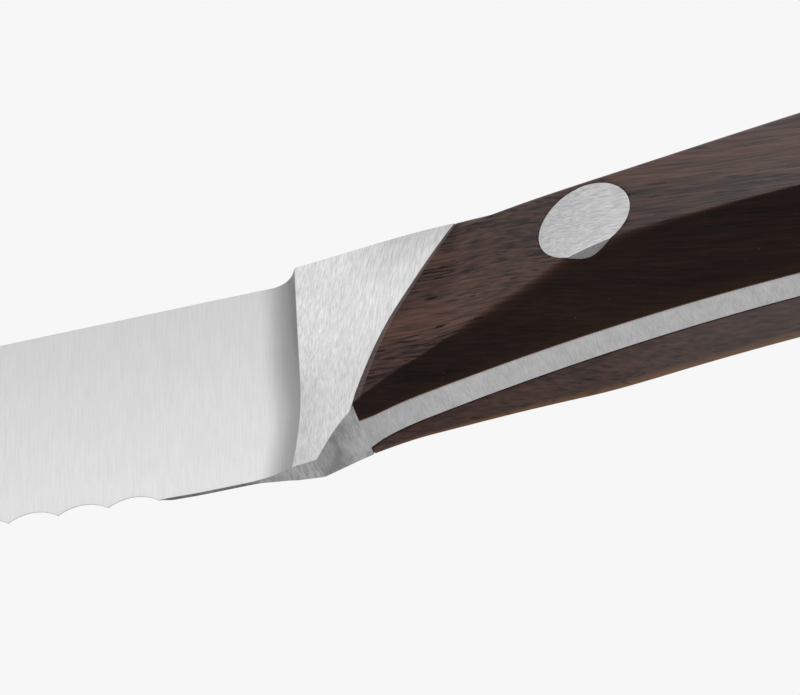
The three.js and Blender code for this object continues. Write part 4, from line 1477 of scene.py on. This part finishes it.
# Floor: reach, share of its colour, roughness, glow by distance and in mirrors. Sky: light from the front,
# from the back and in mirrors. Key light and camera: places and directions.
FLOOR_REACH = 4.0
FLOOR_TINT = 0.15
FLOOR_ROUGHNESS = 0.9
FLOOR_GLOW = 0.48
FLOOR_FADE = (-0.11, -0.035)
FLOOR_LEVELS = (0.1, 0.86)
FLOOR_MIRRORED = 0.14
SKY_TURN = (-0.05, 0.4)
SKY_FRONT, SKY_BACK = 0.05, 0.7
SKY_MIRRORED = 0.41
KEY_TARGET = (0.015, 0.005, 0.002)
KEY_DIRECTION = (-0.42, 0.66, 0.62)
KEY_DISTANCE = 0.8
KEY_SIZE = 1.1
CAMERA_PLACE = (0.16797, -0.42795, 0.38757)
CAMERA_RIGHT = (0.9468, 0.0519, -0.3177)
CAMERA_UP = (0.1961, 0.6897, 0.6971)
CAMERA_BACK = (0.2553, -0.7223, 0.6428)
CAMERA_SENSOR = 36.0
CAMERA_NEAREST = 0.02


class KNIFE_OT_stage(bpy.types.Operator):
    """Set up the floor, the soft light and the camera"""

    bl_idname = "tomato_knife.stage"
    bl_label = "Stage"

    def execute(self, context):
        scene = context.scene
        stage = scene.knife_stage
        scene.view_settings.view_transform = "Standard"
        self.floor(scene, stage)
        self.sky(scene)
        self.key(scene, stage)
        self.camera(scene, stage)
        return {"FINISHED"}

    def floor(self, scene, stage):
        mesh = bpy.data.meshes.new("studio_floor")
        corners = [(x * FLOOR_REACH, y * FLOOR_REACH, 0.0) for x, y in ((-1, -1), (1, -1), (1, 1), (-1, 1))]
        mesh.from_pydata(corners, [], [(0, 1, 2, 3)])
        floor = bpy.data.objects.new("studio_floor", mesh)
        scene.collection.objects.link(floor)
        material, tree, shader = new_material("pale_floor")
        shader.inputs["Base Color"].default_value = opaque(c * FLOOR_TINT for c in stage.floor)
        shader.inputs["Roughness"].default_value = FLOOR_ROUGHNESS
        shader.inputs["Specular IOR Level"].default_value = 0.0
        light_path = add(tree, "ShaderNodeLightPath").outputs
        place = add(tree, "ShaderNodeTexCoord").outputs["Object"]
        depth = add(tree, "ShaderNodeSeparateXYZ", {0: place}).outputs["Y"]
        level = ramp(tree, depth, *FLOOR_FADE, *FLOOR_LEVELS)
        level = plus(tree, level, times(tree, light_path["Is Glossy Ray"], FLOOR_MIRRORED))
        lit = blend_colour(tree, level, (0.0, 0.0, 0.0, 1.0), opaque(stage.floor))
        tree.links.new(lit, shader.inputs["Emission Color"])
        shader.inputs["Emission Strength"].default_value = FLOOR_GLOW
        glow = add(tree, "ShaderNodeEmission", {"Color": opaque(stage.floor), "Strength": 1.0})
        both = add(tree, "ShaderNodeMixShader", {
            0: light_path["Is Camera Ray"], 1: shader.outputs[0], 2: glow.outputs[0],
        })
        tree.links.new(both.outputs[0], tree.nodes["Material Output"].inputs["Surface"])
        mesh.materials.append(material)

    def sky(self, scene):
        world = bpy.data.worlds.new("studio")
        scene.world = world
        world.use_nodes = True
        tree = world.node_tree
        direction = add(tree, "ShaderNodeTexCoord").outputs["Generated"]
        depth = add(tree, "ShaderNodeSeparateXYZ", {0: direction}).outputs["Y"]
        mirrored = add(tree, "ShaderNodeLightPath").outputs["Is Glossy Ray"]
        lowest = plus(tree, times(tree, mirrored, SKY_MIRRORED), SKY_FRONT)
        level = maths(tree, "MAXIMUM", ramp(tree, depth, *SKY_TURN, SKY_FRONT, SKY_BACK), lowest)
        background = tree.nodes["Background"]
        background.inputs["Color"].default_value = (1.0, 1.0, 1.0, 1.0)
        tree.links.new(level, background.inputs["Strength"])

    def key(self, scene, stage):
        lamp = bpy.data.lights.new("key_softbox", "AREA")
        lamp.shape = "RECTANGLE"
        lamp.size = KEY_SIZE
        lamp.size_y = KEY_SIZE
        lamp.energy = stage.key
        key = bpy.data.objects.new("key_softbox", lamp)
        scene.collection.objects.link(key)
        away = Vector(KEY_DIRECTION).normalized()
        key.location = Vector(KEY_TARGET) + KEY_DISTANCE * away
        key.rotation_euler = away.to_track_quat("Z", "Y").to_euler()

    def camera(self, scene, stage):
        data = bpy.data.cameras.new("photo_camera")
        data.sensor_width = CAMERA_SENSOR
        data.lens = stage.lens
        data.clip_start = CAMERA_NEAREST
        camera = bpy.data.objects.new("photo_camera", data)
        scene.collection.objects.link(camera)
        turn = Matrix((CAMERA_RIGHT, CAMERA_UP, CAMERA_BACK)).transposed().to_4x4()
        camera.matrix_world = Matrix.Translation(CAMERA_PLACE) @ turn
        scene.camera = camera


class KNIFE_PT_sidebar(bpy.types.Panel):
    """Lists the steps that build the knife"""

    bl_idname = "KNIFE_PT_sidebar"
    bl_label = "Tomato knife"
    bl_space_type = "VIEW_3D"
    bl_region_type = "UI"
    bl_category = "Knife"

    def draw(self, context):
        for operator in OPERATORS:
            self.layout.operator(operator.bl_idname)


OPERATORS = (KNIFE_OT_forging, KNIFE_OT_scales, KNIFE_OT_rivets, KNIFE_OT_stage)


def register():
    for cls in (*SETTINGS.values(), *OPERATORS, KNIFE_PT_sidebar):
        bpy.utils.register_class(cls)
    for key, cls in SETTINGS.items():
        setattr(bpy.types.Scene, key, PointerProperty(type=cls))


def unregister():
    for key in SETTINGS:
        delattr(bpy.types.Scene, key)
    for cls in (KNIFE_PT_sidebar, *OPERATORS, *SETTINGS.values()):
        bpy.utils.unregister_class(cls)


def main():
    register()
    bpy.ops.tomato_knife.forging()
    bpy.ops.tomato_knife.scales()
    bpy.ops.tomato_knife.rivets()
    bpy.ops.tomato_knife.stage()


if __name__ == "__main__":
    main()
